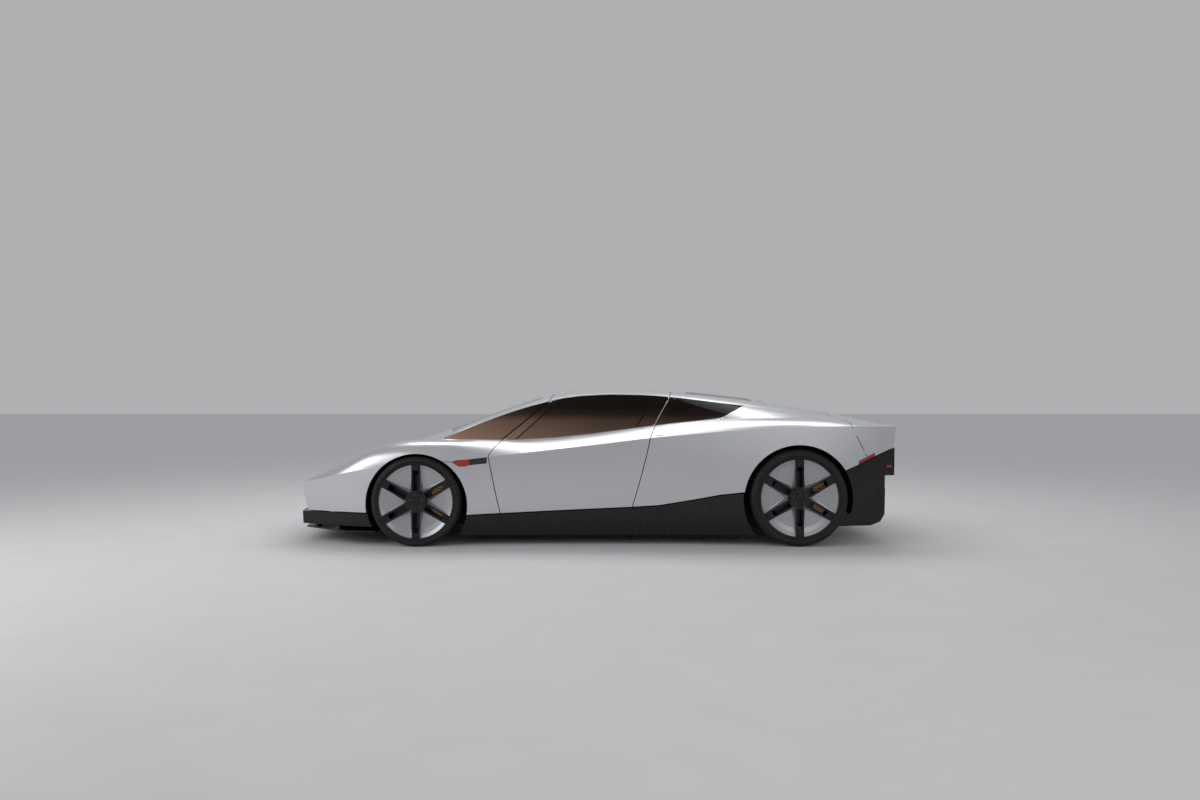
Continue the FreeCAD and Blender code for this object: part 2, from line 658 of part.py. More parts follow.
def rim_inserts(axle_x, axle_z, rim_r):
    """The left wheel's silver dish pieces between the spokes."""
    face_y = -WHEEL_FACE_Y
    dish_r = rim_r - DISH_STEP - BOND
    front = [(INSERT_DEEP, INSERT_R0)] + [(depth, dish_r - inward) for depth, inward in INSERT_FOLDS]
    back = [(depth + INSERT_T, r) for depth, r in (front[-1], front[1], front[0])]
    dish = revolved(front + back, axle_x, axle_z, face_y)
    rooms = [cylinder_y(axle_x, axle_z, HUB_R + BOND, face_y - 5, face_y + 120)]
    for i in range(SPOKE_COUNT):
        room = box(axle_x, axle_x + rim_r, face_y - 50, face_y + 100, axle_z - SPOKE_W / 2 - BOND,
                   axle_z + SPOKE_W / 2 + BOND)
        room.rotate(Vector(axle_x, 0, axle_z), Vector(0, 1, 0), (i + 0.5) * 360 / SPOKE_COUNT)
        rooms.append(room)
    return Part.makeCompound(dish.cut(rooms).Solids)


def brake_disc(axle_x, axle_z):
    """The left brake disc with its hat, held between the hub and the upright."""
    back = HUB_BACK + BOND
    return revolved([(back, SPINDLE_R + 4), (back, DISC_HAT_R), (DISC_FRONT, DISC_HAT_R), (DISC_FRONT, DISC_R),
                     (DISC_BACK, DISC_R), (DISC_BACK, DISC_HAT_R - 8), (HUB_BACK + 8, DISC_HAT_R - 8),
                     (HUB_BACK + 8, SPINDLE_R + 4)], axle_x, axle_z, -WHEEL_FACE_Y)


def caliper(axle_x, axle_z):
    """The left brake caliper, astride the disc on the trailing side."""
    face_y = -WHEEL_FACE_Y
    ring = revolved([(CALIPER_FRONT, CALIPER_R0), (CALIPER_FRONT, CALIPER_R1), (KNUCKLE_FACE, CALIPER_R1),
                     (KNUCKLE_FACE, CALIPER_R0)], axle_x, axle_z, face_y)
    front, back, rim = DISC_FRONT - PAD_GAP, DISC_BACK + PAD_GAP, DISC_R + PAD_GAP
    room = revolved([(front, 50), (front, rim), (back, rim), (back, 50)], axle_x, axle_z, face_y)
    spread = math.radians(CALIPER_HALF_ANGLE)
    far = 2 * CALIPER_R1
    wedge = prism_y([(axle_x, axle_z), (axle_x + far * math.cos(spread), axle_z - far * math.sin(spread)),
                     (axle_x + far * math.cos(spread), axle_z + far * math.sin(spread))], -FAR_Y, 0)
    return ring.cut(room).common(wedge)


def upright(axle_x, axle_z, pin_r):
    """The left upright with its spindle and the caliper's foot; pin_r is the kingpin bore, or 0."""
    face_y = -WHEEL_FACE_Y
    front = face_y + KNUCKLE_FACE + BOND
    body = box(axle_x - KNUCKLE_HALF_W, axle_x + KNUCKLE_HALF_W, front, front + KNUCKLE_T,
               axle_z - KNUCKLE_HALF_H, axle_z + KNUCKLE_HALF_H)
    spindle = cylinder_y(axle_x, axle_z, SPINDLE_R, face_y + HUB_BORE_FROM + 3, front + 5)
    foot = box(axle_x + 30, axle_x + CALIPER_R1 - 30, front, front + 22, axle_z - 45, axle_z + 45)
    whole = body.fuse([spindle, foot])
    if pin_r:
        whole = whole.cut(Part.makeCylinder(pin_r, 800, Vector(axle_x, -KINGPIN_Y, axle_z - 400)))
    return whole.removeSplitter()


def arms(axle_x, axle_z, inner_y, pin):
    """The left suspension arms, joined by the kingpin when pin is true, else by an upright tie."""
    out_y = KINGPIN_Y + 20
    low = axle_z - KNUCKLE_HALF_H - 30
    high = axle_z + KNUCKLE_HALF_H + 6
    parts = []
    for z in (low, high):
        top = z + ARM_T
        parts.append(box(axle_x - ARM_HALF_W, axle_x + ARM_HALF_W, -out_y, -inner_y, z, top))
        parts.append(box(axle_x - BEAM_HALF_L, axle_x + BEAM_HALF_L, -inner_y - BEAM_DEPTH, -inner_y, z, top))
    if pin:
        length = 2 * KNUCKLE_HALF_H + 40
        parts.append(Part.makeCylinder(KINGPIN_R, length, Vector(axle_x, -KINGPIN_Y, axle_z - length / 2)))
    else:
        parts.append(box(axle_x - ARM_HALF_W, axle_x + ARM_HALF_W, -out_y, -KINGPIN_Y + 20, low, high))
    return parts[0].fuse(parts[1:]).removeSplitter()


# Master forms
outer = closed_hull(0)
inner = closed_hull(SKIN)
skin = outer.cut(inner)
door_skin = outer.cut(closed_hull(DOOR_WALL, DOOR_BELT_WALL, SKIN, SKIN))
glass_skin = outer.cut(closed_hull(GLASS))
rebate_skin = outer.cut(closed_hull(GLASS + BOND))
upper = above(WAIST)
front_arch_z = FRONT_TYRE_R - FRONT_ARCH_DROP
rear_arch_z = REAR_TYRE_R - REAR_ARCH_DROP
arches = arch_cutter(FRONT_AXLE_X, front_arch_z, FRONT_ARCH_R, ARCH_INNER_Y)
arches += arch_cutter(REAR_AXLE_X, rear_arch_z, REAR_ARCH_R, ARCH_INNER_Y)

# Spaces of the doors and lids, and their hinges
door_room = door_space(0)
door_hole = door_space(GAP)
door_eyes, door_rooms, door_pins = door_hinge_parts()
bonnet_eyes, bonnet_rooms, bonnet_pins = lid_hinge_parts(BONNET_HINGE_X, BONNET_HINGE_Z, BONNET_EDGE_R, -1)
lid_eyes, lid_rooms, lid_pins = lid_hinge_parts(REAR_LID_HINGE_X, REAR_LID_HINGE_Z, REAR_LID_EDGE_R, 1)
door_holes = both_sides(door_hole)
hinge_rooms = door_rooms + [mirrored(r) for r in door_rooms] + bonnet_rooms + lid_rooms


def front_glass_zone(grow):
    return glass_band((WINDOW_APEX_X - grow, -1080, -930, -780, -600),
                      (-300, -500, -641, -780, -909, -1080, WINDOW_APEX_X - grow), (), GLASS_EDGE - grow)


def door_glass_zone(grow):
    band = glass_band((-800, -611, -300, -15, 331, 560), (700, 497, 379, 125, -106, -241, -418, -560), (),
                      GLASS_EDGE - grow)
    return band.common(door_space(grow - DOOR_GLASS_EDGE))


def rear_glass_zone(grow):
    foot_x, foot_z = REAR_GLASS_FOOT
    return glass_band((400, 600, 817), (REAR_GLASS_TIP_X + 3 * grow, 1000, 840, 700, 560),
                      [(foot_x + grow, foot_z - grow)], GLASS_EDGE - grow)


def door_clear_zone():
    """The door's open window inside its glass."""
    return glass_band((DOOR_CLEAR_FOOT[0], -300, -15, DOOR_CLEAR_FOOT[1]),
                      (DOOR_CLEAR_HEAD[1], 379, 125, -106, -200, DOOR_CLEAR_HEAD[0]), (),
                      GLASS_EDGE + GLASS_LAP)


def rear_clear_zone():
    """The open rear side window behind the door's pillar."""
    lean = 100.0
    return glass_band((REAR_CLEAR_X, 680, 817), (REAR_CLEAR_TIP_X, 1000, 840, REAR_CLEAR_X + lean),
                      [REAR_CLEAR_FOOT], GLASS_EDGE + GLASS_LAP)


# Screen outlines in plan
screen_side = [(x, rail_y(x) - PILLAR_W) for x in (-1125, -909, -641, -430)]
screen_half = list(SCREEN_FOOT) + screen_side + [(SCREEN_TOP_X, 0)]
windscreen_plan = prism_z(screen_half + [(x, -y) for x, y in screen_half[-2:0:-1]], 700, FAR_Z)
(near_x, far_x), (near_w, far_w) = REAR_SCREEN_X, REAR_SCREEN_HALF_W
rear_screen_plan = prism_z([(near_x, -near_w), (near_x, near_w), (far_x, far_w), (far_x, -far_w)], 900, FAR_Z)

# Painted panels
canopy_low = [(x, belt_z(x) - 9) for x in (-1260, -1080, -930, -780, -560)]
canopy_low += [(-60, 1000), (300, 1090)]
canopy_low += [(x, rail_z(x) - 12) for x in (560, CANOPY_REAR_X)]
seam = box(CANOPY_REAR_X, CANOPY_REAR_X + BOND, -1000, 1000, 900, FAR_Z)
body = skin.common(upper).cut(arches + door_holes).cut([bonnet_space(GAP), rear_lid_space(GAP)])
front_openings = both_sides(front_glass_zone(BOND))
rear_openings = both_sides(rear_clear_zone()) + both_sides(rear_glass_zone(BOND).common(rebate_skin))
canopy = body.common(above(canopy_low)).cut(front_openings + rear_openings + [windscreen_plan] + hinge_rooms)
canopy = canopy.fuse(door_pins + [mirrored(p) for p in door_pins])
rest = body.cut([above(canopy_low, BOND).fuse(seam)])
front_clam = rest.common(slab(-FAR_X, -300, 0, FAR_Z)).cut(bonnet_rooms).fuse(bonnet_pins)
rear_body = rest.common(slab(-300, FAR_X, 0, FAR_Z))
tail_back = [(FAR_X, 1200), (FAR_X, 300), (TAIL_CUT[0][0], 300)]
tail_zone = prism_y(list(TAIL_CUT) + tail_back)
tail_room = prism_y([(x - BOND, z) for x, z in TAIL_CUT] + tail_back)
rear_clam = rear_body.cut([tail_room, rear_screen_plan] + rear_openings + lid_rooms).fuse(lid_pins)
tail_panel = rear_body.common(tail_zone)

# Doors, lids and glass
door_left = door_skin.common(door_room).common(upper)
door_left = door_left.cut([door_clear_zone(), rebate_skin.common(door_glass_zone(BOND))]).fuse(door_eyes)
bonnet = skin.common(bonnet_space(0)).fuse(bonnet_eyes)
rear_lid = skin.common(rear_lid_space(0)).fuse(lid_eyes)
windscreen = glass_skin.common(windscreen_plan)
rear_window = glass_skin.common(rear_screen_plan)
front_quarter = glass_skin.common(front_glass_zone(0)).cut([door_hole])
door_glass_left = glass_skin.common(door_glass_zone(0))
rear_quarter = glass_skin.common(rear_glass_zone(0)).cut([door_hole])

# Black lower body
low_outer = hull(SILL_INSET)
low_inner = hull(SILL_INSET + SILL_WALL)
under_waist = below(WAIST, SHADOW_GAP)
ring = low_outer.cut(low_inner).common(under_waist).cut(arches)
sills = ring.common(slab(FRONT_AXLE_X, REAR_AXLE_X, SILL_BOTTOM_Z, 600))
nose_form = low_outer.common(splitter_block(0)).common(slab(-FAR_X, FRONT_AXLE_X, SPLITTER_BOTTOM_Z, 600))
nose_form = nose_form.cut([low_inner.common(splitter_block(SILL_WALL))] + arches).common(under_waist)
blade_right = [Vector(x, y, BLADE_Z) for x, y in BLADE_EDGE]
blade_left = [Vector(x, -y, BLADE_Z) for x, y in BLADE_EDGE]
blade_front = Part.Arc(blade_left[0], Vector(NOSE_X, 0, BLADE_Z), blade_right[0]).toShape()
blade_back = Part.makePolygon(blade_right + blade_left[::-1])
blade = Part.Face(Part.Wire([blade_front] + blade_back.Edges)).extrude(Vector(0, 0, BLADE_T)).cut(arches)
ribs = []
for x in RIB_X:
    ribs += side_boxes(x - RIB_T / 2, x + RIB_T / 2, RIB_Y[0], RIB_Y[1], BLADE_Z + BLADE_T, RIB_TOP_Z)
ribs = [rib.common(low_outer).cut(arches) for rib in ribs]
splitter = nose_form.fuse([blade] + ribs).removeSplitter()
bumper_zone = prism_y(list(BUMPER_EDGE) + [(2420, 900), (1840, 900)])
bumper = low_outer.common(bumper_block(0, LEDGE_Z)).common(bumper_zone).common(under_waist)
bumper = bumper.cut([low_inner.common(bumper_block(SILL_WALL, LEDGE_Z + LEDGE_T))] + arches)
ramp = prism_y([RAMP_START, RAMP_END, (RAMP_END[0], RAMP_END[1] + 3 * RAMP_T),
                (RAMP_START[0], RAMP_START[1] + RAMP_T)], -RAMP_HALF_W, RAMP_HALF_W)
vanes = []
for y in VANE_Y:
    vane = prism_y([RAMP_START] + list(VANE_LINE) + [(RAMP_END[0], VANE_LINE[-1][1]), RAMP_END],
                   y - VANE_T / 2, y + VANE_T / 2)
    vanes += both_sides(vane)
bumper = bumper.fuse([ramp.common(low_outer)] + vanes).removeSplitter()

# Floor and bulkheads
floor_form = closed_hull(SILL_INSET + SILL_WALL + BOND)
inside = closed_hull(SKIN + BOND)
nose_floor_z = BLADE_Z + BLADE_T
dash_wall_back = DASH_WALL_X + TUB_WALL
floor = slab(DASH_WALL_X, FLOOR_REAR_X, FLOOR_Z, FLOOR_Z + FLOOR_T)
floor = floor.fuse([box(TUB_NOSE_X, DASH_WALL_X, -TUB_NOSE_HALF_W, TUB_NOSE_HALF_W, nose_floor_z,
                        nose_floor_z + FLOOR_T),
                    box(FLOOR_REAR_X, TUB_TAIL_X, -TUB_TAIL_HALF_W, TUB_TAIL_HALF_W, TUB_TAIL_Z,
                        TUB_TAIL_Z + FLOOR_T)]).common(floor_form)
walls = [slab(DASH_WALL_X, dash_wall_back, FLOOR_Z + FLOOR_T, DASH_WALL_TOP_Z),
         slab(REAR_WALL_X, REAR_WALL_X + TUB_WALL, FLOOR_Z + FLOOR_T, REAR_WALL_TOP_Z)]
walls = [w.common(inside).cut(door_holes) for w in walls]
floor_top = FLOOR_Z + FLOOR_T
rail_y0 = TUB_TAIL_HALF_W - TUB_RAIL
nose_y0 = TUB_NOSE_HALF_W - TUB_WALL
walls += side_boxes(dash_wall_back, REAR_WALL_X, SILL_BOX_Y[0], SILL_BOX_Y[1], floor_top, SILL_BOX_TOP_Z)
walls += side_boxes(TUB_NOSE_X, DASH_WALL_X, nose_y0, TUB_NOSE_HALF_W, nose_floor_z + FLOOR_T, TUB_NOSE_TOP_Z)
walls += side_boxes(REAR_WALL_X + TUB_WALL, TUB_TAIL_X, rail_y0, TUB_TAIL_HALF_W, floor_top, TUB_TAIL_TOP_Z)
walls.append(box(TUB_NOSE_X, TUB_NOSE_X + TUB_WALL, -TUB_NOSE_HALF_W, TUB_NOSE_HALF_W, nose_floor_z + FLOOR_T,
                 TUB_NOSE_TOP_Z))
walls.append(box(COWL_WALL_X, COWL_WALL_X + TUB_WALL, -TUB_NOSE_HALF_W, TUB_NOSE_HALF_W, nose_floor_z + FLOOR_T,
                 COWL_WALL_TOP_Z))
pads = []
half_l, half_w = JACK_PAD[0] / 2, JACK_PAD[1] / 2
for x in JACK_X:
    pads += side_boxes(x - half_l, x + half_l, JACK_Y - half_w, JACK_Y + half_w, FLOOR_Z - JACK_DROP, FLOOR_Z)
sill_room = closed_hull(SILL_INSET - BOND).cut(floor_form).common(below(WAIST, SHADOW_GAP - BOND))
liner_grow = LINER_T + BOND
liner_rooms = arch_cutter(FRONT_AXLE_X, front_arch_z, FRONT_LINER_R + liner_grow, FRONT_LINER_Y - liner_grow)
liner_rooms += arch_cutter(REAR_AXLE_X, rear_arch_z, REAR_LINER_R + liner_grow, REAR_LINER_Y - liner_grow)
floor_tub = floor.fuse(walls).cut([sill_room] + liner_rooms).fuse(pads).removeSplitter()

# Arch liners: a shell over each wheel, behind the paint above the waist and behind the black body below it
liner_form = inside.common(above(WAIST, SHADOW_GAP - 2 * BOND))
liner_form = liner_form.fuse(floor_form.common(below(WAIST, SHADOW_GAP - 2 * BOND)))
liners = []
for x, z, r, y0 in ((FRONT_AXLE_X, front_arch_z, FRONT_LINER_R, FRONT_LINER_Y),
                    (REAR_AXLE_X, rear_arch_z, REAR_LINER_R, REAR_LINER_Y)):
    shell = cylinder_y(x, z, r + LINER_T, -FAR_Y, -y0).cut(cylinder_y(x, z, r, -FAR_Y - 1, -y0 - LINER_T))
    shell = shell.cut(cylinder_y(x, z, LINER_HOLE_R, -FAR_Y, -y0 + 10))
    shell = shell.cut([slab(-FAR_X, FAR_X, -FAR_Z, LINER_BOTTOM_Z),
                       slab(REAR_AXLE_X, FAR_X, -FAR_Z, BUMPER_EDGE[0][1] + BOND)])
    liners.append(shell.common(liner_form))

# Cabin
seat = prism_y(SEAT_LINE, -SEAT_Y[1], -SEAT_Y[0])
knee_rooms = side_boxes(DASH_KNEE_X[0], DASH_KNEE_X[1], DASH_KNEE_Y, FAR_Y, 0, FAR_Z)
dash = prism_y(DASH_LINE, -DASH_HALF_W, DASH_HALF_W).common(inside).cut(door_holes + knee_rooms)
console = box(CONSOLE_X[0], CONSOLE_X[1], -CONSOLE_HALF_W, CONSOLE_HALF_W, FLOOR_Z + FLOOR_T, CONSOLE_TOP_Z)


def steering():
    """The steering wheel: a many-sided grip ring, two spoke bars, the hub and its column."""
    grip = []
    for i in range(STEERING_SIDES):
        turn = 2 * math.pi * (i + 0.5) / STEERING_SIDES
        grip.append(Vector(STEERING_R + STEERING_GRIP_R * math.cos(turn), 0, STEERING_GRIP_R * math.sin(turn)))
    ring_face = Part.Face(Part.makePolygon(grip + grip[:1]))
    grip_ring = ring_face.revolve(Vector(0, 0, 0), Vector(0, 0, 1), 360)
    reach = STEERING_R - STEERING_GRIP_R / 2
    half_w, half_t = STEERING_BAR_W / 2, STEERING_BAR_T / 2
    bar = box(-reach, reach, -half_w, half_w, -half_t, half_t)
    foot_bar = box(-half_w, half_w, -reach, 0, -half_t, half_t)
    hub = Part.makeCylinder(STEERING_HUB_R, 30, Vector(0, 0, -12))
    column = Part.makeCylinder(COLUMN_R, COLUMN_L, Vector(0, 0, -COLUMN_L - 5))
    whole = grip_ring.fuse([bar, foot_bar, hub, column])
    whole.rotate(Vector(0, 0, 0), Vector(0, 0, 1), 90)
    whole.rotate(Vector(0, 0, 0), Vector(0, 1, 0), STEERING_TILT)
    whole.translate(Vector(*STEERING_CENTRE))
    return whole.cut([dash])


steering_wheel = steering()
drive_unit = box(DRIVE_X[0], DRIVE_X[1], -DRIVE_HALF_W, DRIVE_HALF_W, TUB_TAIL_Z + FLOOR_T, DRIVE_TOP_Z)

# Lamps, each let into its panel
head_zone = box(-2400, -2150, -HEADLAMP_Y[1], -HEADLAMP_Y[0], HEADLAMP_Z[0], HEADLAMP_Z[1])
headlamp = outer.cut(hull(0).common(nose_block(HEADLAMP_DEPTH))).common(head_zone)
strip_zone = above(WAIST).cut(above([(x, z + TAIL_STRIP_H) for x, z in WAIST]))
strip_zone = strip_zone.common(slab(TAIL_STRIP_X[0], TAIL_STRIP_X[1], 300, 1000))
bar_zone = box(2100, FAR_X, -TAIL_BAR_HALF_W, TAIL_BAR_HALF_W, TAIL_BAR_Z[0], TAIL_BAR_Z[1])
lamp_layer = outer.cut(closed_hull(LAMP_T))
tail_lamps = lamp_layer.common(strip_zone.fuse(bar_zone))
side_zone = prism_y(SIDE_LAMP, -FAR_Y, -800)
side_lamp = outer.cut(closed_hull(SIDE_LAMP_T)).common(side_zone)
front_clam = front_clam.cut(both_sides(headlamp) + both_sides(side_lamp))
tail_panel = tail_panel.cut([tail_lamps])
rear_clam = rear_clam.cut([tail_lamps])

# Running gear
front_set = (tyre_ring(FRONT_AXLE_X, FRONT_TYRE_R, FRONT_TYRE_W, FRONT_RIM_R),
             rim_body(FRONT_AXLE_X, FRONT_TYRE_R, FRONT_TYRE_W, FRONT_RIM_R),
             rim_inserts(FRONT_AXLE_X, FRONT_TYRE_R, FRONT_RIM_R),
             brake_disc(FRONT_AXLE_X, FRONT_TYRE_R))
rear_set = (tyre_ring(REAR_AXLE_X, REAR_TYRE_R, REAR_TYRE_W, REAR_RIM_R),
            rim_body(REAR_AXLE_X, REAR_TYRE_R, REAR_TYRE_W, REAR_RIM_R),
            rim_inserts(REAR_AXLE_X, REAR_TYRE_R, REAR_RIM_R),
            brake_disc(REAR_AXLE_X, REAR_TYRE_R))
front_caliper = caliper(FRONT_AXLE_X, FRONT_TYRE_R)
rear_caliper = caliper(REAR_AXLE_X, REAR_TYRE_R)
knuckle = upright(FRONT_AXLE_X, FRONT_TYRE_R, KINGPIN_R + PIN_PLAY)
front_arms = arms(FRONT_AXLE_X, FRONT_TYRE_R, TUB_NOSE_HALF_W, True)
rear_arms = arms(REAR_AXLE_X, REAR_TYRE_R, TUB_TAIL_HALF_W, False).fuse([upright(REAR_AXLE_X, REAR_TYRE_R, 0)])

NODES = {
    "floor_tub": [floor_tub],
    "side_sills": [sills],
    "front_splitter": [splitter],
    "rear_diffuser": [bumper],
    "front_clam": [front_clam],
    "canopy_frame": [canopy],
    "rear_clam": [rear_clam],
    "tail_panel": [tail_panel],
    "windscreen": [windscreen],
    "front_quarter_glass": both_sides(front_quarter),
    "rear_quarter_glass": both_sides(rear_quarter),
    "rear_window": [rear_window],
    "headlamps": both_sides(headlamp),
    "tail_lamps": [tail_lamps],
    "side_lamps": both_sides(side_lamp),
    "arch_liners": both_sides(liners[0]) + both_sides(liners[1]),
    "seats": both_sides(seat),
    "dashboard": [dash],
    "centre_console": [console],
    "steering_wheel": [steering_wheel],
    "drive_unit": [drive_unit],
    "front_suspension": both_sides(front_arms),
    "rear_suspension": both_sides(rear_arms),
    "rear_calipers": both_sides(rear_caliper),
    "door_left": [door_left],
    "door_right": [mirrored(door_left)],
    "door_glass_left": [door_glass_left],
    "door_glass_right": [mirrored(door_glass_left)],
    "bonnet": [bonnet],
    "rear_lid": [rear_lid],
    "knuckle_left": [knuckle],
    "knuckle_right": [mirrored(knuckle)],
    "caliper_left": [front_caliper],
    "caliper_right": [mirrored(front_caliper)],
}
for name, pieces in (("front", front_set), ("rear", rear_set)):
    for part, shape in zip(("tyre", "rim", "inserts", "disc"), pieces):
        NODES[part + "_" + name + "_left"] = [shape]
        NODES[part + "_" + name + "_right"] = [mirrored(shape)]

os.makedirs("parts", exist_ok=True)
for name, shapes in NODES.items():
    solids = [s for shape in shapes for s in shape.Solids]
    whole = solids[0] if len(solids) == 1 else Part.makeCompound(solids)
    whole.exportStep("parts/" + name + ".step")
    print(name, len(solids), whole.isValid(), round(whole.Volume / 1e6, 2))
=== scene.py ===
import json
import math
import bmesh
import bpy
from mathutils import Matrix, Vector
from mathutils.bvhtree import BVHTree


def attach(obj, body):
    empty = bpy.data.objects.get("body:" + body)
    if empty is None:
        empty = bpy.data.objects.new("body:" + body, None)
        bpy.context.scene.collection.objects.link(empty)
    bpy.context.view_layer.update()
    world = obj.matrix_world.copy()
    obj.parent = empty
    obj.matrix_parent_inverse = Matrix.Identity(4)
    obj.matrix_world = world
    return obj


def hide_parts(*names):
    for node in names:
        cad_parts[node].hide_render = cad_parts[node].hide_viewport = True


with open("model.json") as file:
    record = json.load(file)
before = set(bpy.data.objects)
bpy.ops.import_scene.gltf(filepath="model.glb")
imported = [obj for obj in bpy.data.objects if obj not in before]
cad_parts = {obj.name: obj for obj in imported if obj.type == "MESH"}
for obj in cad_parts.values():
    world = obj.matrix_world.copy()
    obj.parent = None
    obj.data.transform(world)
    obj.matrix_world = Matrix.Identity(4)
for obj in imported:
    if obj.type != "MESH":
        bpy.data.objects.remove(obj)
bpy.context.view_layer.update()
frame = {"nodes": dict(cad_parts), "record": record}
NODES = frame["nodes"]
ENDS = ("front", "rear")
SIDES = ("left", "right")

# Sizes of the part, in metres. BELT_Z and RAIL_Z are (x, z) points of the glass's lower and upper lines.
AXLE_X = {"front": -1.341, "rear": 1.547}
TYRE_R = {"front": 0.340, "rear": 0.366}
TYRE_W = {"front": 0.245, "rear": 0.305}
RIM_R = {"front": 0.292, "rear": 0.306}
FACE_Y = 0.975          # the wheels' outer faces
BELT_Z = ((-1.500, 0.784), (-1.330, 0.797), (-1.000, 0.797), (-0.611, 0.793), (-0.015, 0.841), (0.331, 0.887),
          (0.817, 0.943), (1.140, 0.962), (1.455, 0.966))
RAIL_Z = ((-1.450, 0.776), (-1.215, 0.800), (-1.100, 0.843), (-0.909, 0.921), (-0.641, 1.018), (-0.418, 1.084),
          (-0.241, 1.124), (-0.060, 1.145), (0.125, 1.153), (0.379, 1.149), (0.592, 1.136), (0.840, 1.107),
          (1.190, 1.062), (1.551, 1.014))
GLASS_INSET = 0.017     # the width of the panes' opaque borders
BORDER_LIFT = 0.0004    # how far these borders lie outside their panes


def monotone(points):
    """The part's smooth curve through (x, value) points: cubics that never overshoot a point."""
    xs = [p[0] for p in points]
    ys = [p[1] for p in points]
    steps = [b - a for a, b in zip(xs, xs[1:])]
    slopes = [(b - a) / h for a, b, h in zip(ys, ys[1:], steps)]
    tangents = [slopes[0]]
    for i in range(1, len(slopes)):
        before, after = slopes[i - 1], slopes[i]
        if before * after <= 0:
            tangents.append(0.0)
            continue
        w1 = 2 * steps[i] + steps[i - 1]
        w2 = steps[i] + 2 * steps[i - 1]
        tangents.append((w1 + w2) / (w1 / before + w2 / after))
    tangents.append(slopes[-1])

    def value(x):
        i = 0
        while i < len(steps) - 1 and x > xs[i + 1]:
            i += 1
        h = steps[i]
        t = min(1.0, max(0.0, (x - xs[i]) / h))
        a = (1 + 2 * t) * (1 - t) ** 2
        b = t * (1 - t) ** 2
        c = t * t * (3 - 2 * t)
        d = t * t * (t - 1)
        return a * ys[i] + b * h * tangents[i] + c * ys[i + 1] + d * h * tangents[i + 1]
    return value


belt_z = monotone(BELT_Z)
rail_z = monotone(RAIL_Z)


# Material helpers. The Mix node's colour sockets have the same names as its other ones, so they go by number.
MIX_SHARE, MIX_A, MIX_B, MIX_RESULT = 0, 6, 7, 2


def material(name, color=(0.8, 0.8, 0.8), rough=0.5, metal=0.0, coat=0.0, coat_rough=0.03, ior=1.5, alpha=1.0,
             sheen=0.0):
    mat = bpy.data.materials.new(name)
    mat.use_nodes = True
    shader = mat.node_tree.nodes["Principled BSDF"]
    shader.inputs["Base Color"].default_value = (*color, 1)
    shader.inputs["Roughness"].default_value = rough
    shader.inputs["Metallic"].default_value = metal
    shader.inputs["Coat Weight"].default_value = coat
    shader.inputs["Coat Roughness"].default_value = coat_rough
    shader.inputs["IOR"].default_value = ior
    shader.inputs["Alpha"].default_value = alpha
    shader.inputs["Sheen Weight"].default_value = sheen
    return mat


def node(mat, kind, **values):
    new = mat.node_tree.nodes.new(kind)
    for key, value in values.items():
        if key in new.inputs:
            new.inputs[key].default_value = value
        else:
            setattr(new, key, value)
    return new


def link(mat, a, out, b, into):
    mat.node_tree.links.new(a.outputs[out], b.inputs[into])


def coords(mat, scale=(1, 1, 1)):
    """Object coordinates, in metres, stretched by scale."""
    place = node(mat, "ShaderNodeTexCoord")
    mapping = node(mat, "ShaderNodeMapping")
    mapping.inputs["Scale"].default_value = scale
    link(mat, place, "Object", mapping, "Vector")
    return mapping


def noise(mat, scale, detail=3.0, stretch=(1, 1, 1)):
    place = coords(mat, stretch)
    tex = node(mat, "ShaderNodeTexNoise", Scale=scale, Detail=detail)
    link(mat, place, "Vector", tex, "Vector")
    return tex


def ramp(mat, source, out, stops, steps=False):
    """A colour ramp with (position, grey or colour) stops."""
    new = node(mat, "ShaderNodeValToRGB")
    link(mat, source, out, new, "Fac")
    if steps:
        new.color_ramp.interpolation = "CONSTANT"
    elements = new.color_ramp.elements
    while len(elements) < len(stops):
        elements.new(0.5)
    for element, (at, value) in zip(elements, stops):
        element.position = at
        element.color = (*value, 1) if isinstance(value, tuple) else (value, value, value, 1)
    return new


def along(mat, axis, low, high):
    """A 0 to 1 value that grows along one axis of the part, from low to high."""
    place = node(mat, "ShaderNodeTexCoord")
    split = node(mat, "ShaderNodeSeparateXYZ")
    link(mat, place, "Object", split, "Vector")
    span = node(mat, "ShaderNodeMapRange")
    span.inputs["From Min"].default_value = low
    span.inputs["From Max"].default_value = high
    link(mat, split, axis, span, "Value")
    return span


def multiply(mat, a, b):
    """The product of two colour outputs."""
    new = node(mat, "ShaderNodeMix", data_type="RGBA", blend_type="MULTIPLY")
    new.inputs[MIX_SHARE].default_value = 1.0
    mat.node_tree.links.new(a, new.inputs[MIX_A])
    mat.node_tree.links.new(b, new.inputs[MIX_B])
    return new.outputs[MIX_RESULT]


def shader_of(mat):
    return mat.node_tree.nodes["Principled BSDF"]


def vary_color(mat, source, low, high, span=(0.35, 0.65)):
    """Base colour from low to high as the source's value goes through span."""
    tint = ramp(mat, source, "Fac", [(span[0], low), (span[1], high)])
    link(mat, tint, "Color", shader_of(mat), "Base Color")


def vary_rough(mat, source, low, high):
    """Roughness from low to high as the source's value goes from 0.3 to 0.7."""
    grey = ramp(mat, source, "Fac", [(0.3, low), (0.7, high)])
    link(mat, grey, "Color", shader_of(mat), "Roughness")


def bump(mat, source, strength, distance, out="Fac"):
    new = node(mat, "ShaderNodeBump", Strength=strength, Distance=distance)
    link(mat, source, out, new, "Height")
    link(mat, new, "Normal", shader_of(mat), "Normal")


def scaled(color, factor):
    return tuple(min(1, c * factor) for c in color)


def paint_material():
    """Metallic silver with a fine flake under a soft clear coat."""
    mat = material("silver_metallic", rough=0.32, metal=0.88, coat=0.6, coat_rough=0.14)
    vary_color(mat, noise(mat, 700, 1.0), (0.596, 0.606, 0.624), (0.606, 0.615, 0.632), (0.40, 0.60))
    vary_rough(mat, noise(mat, 6), 0.30, 0.35)
    return mat


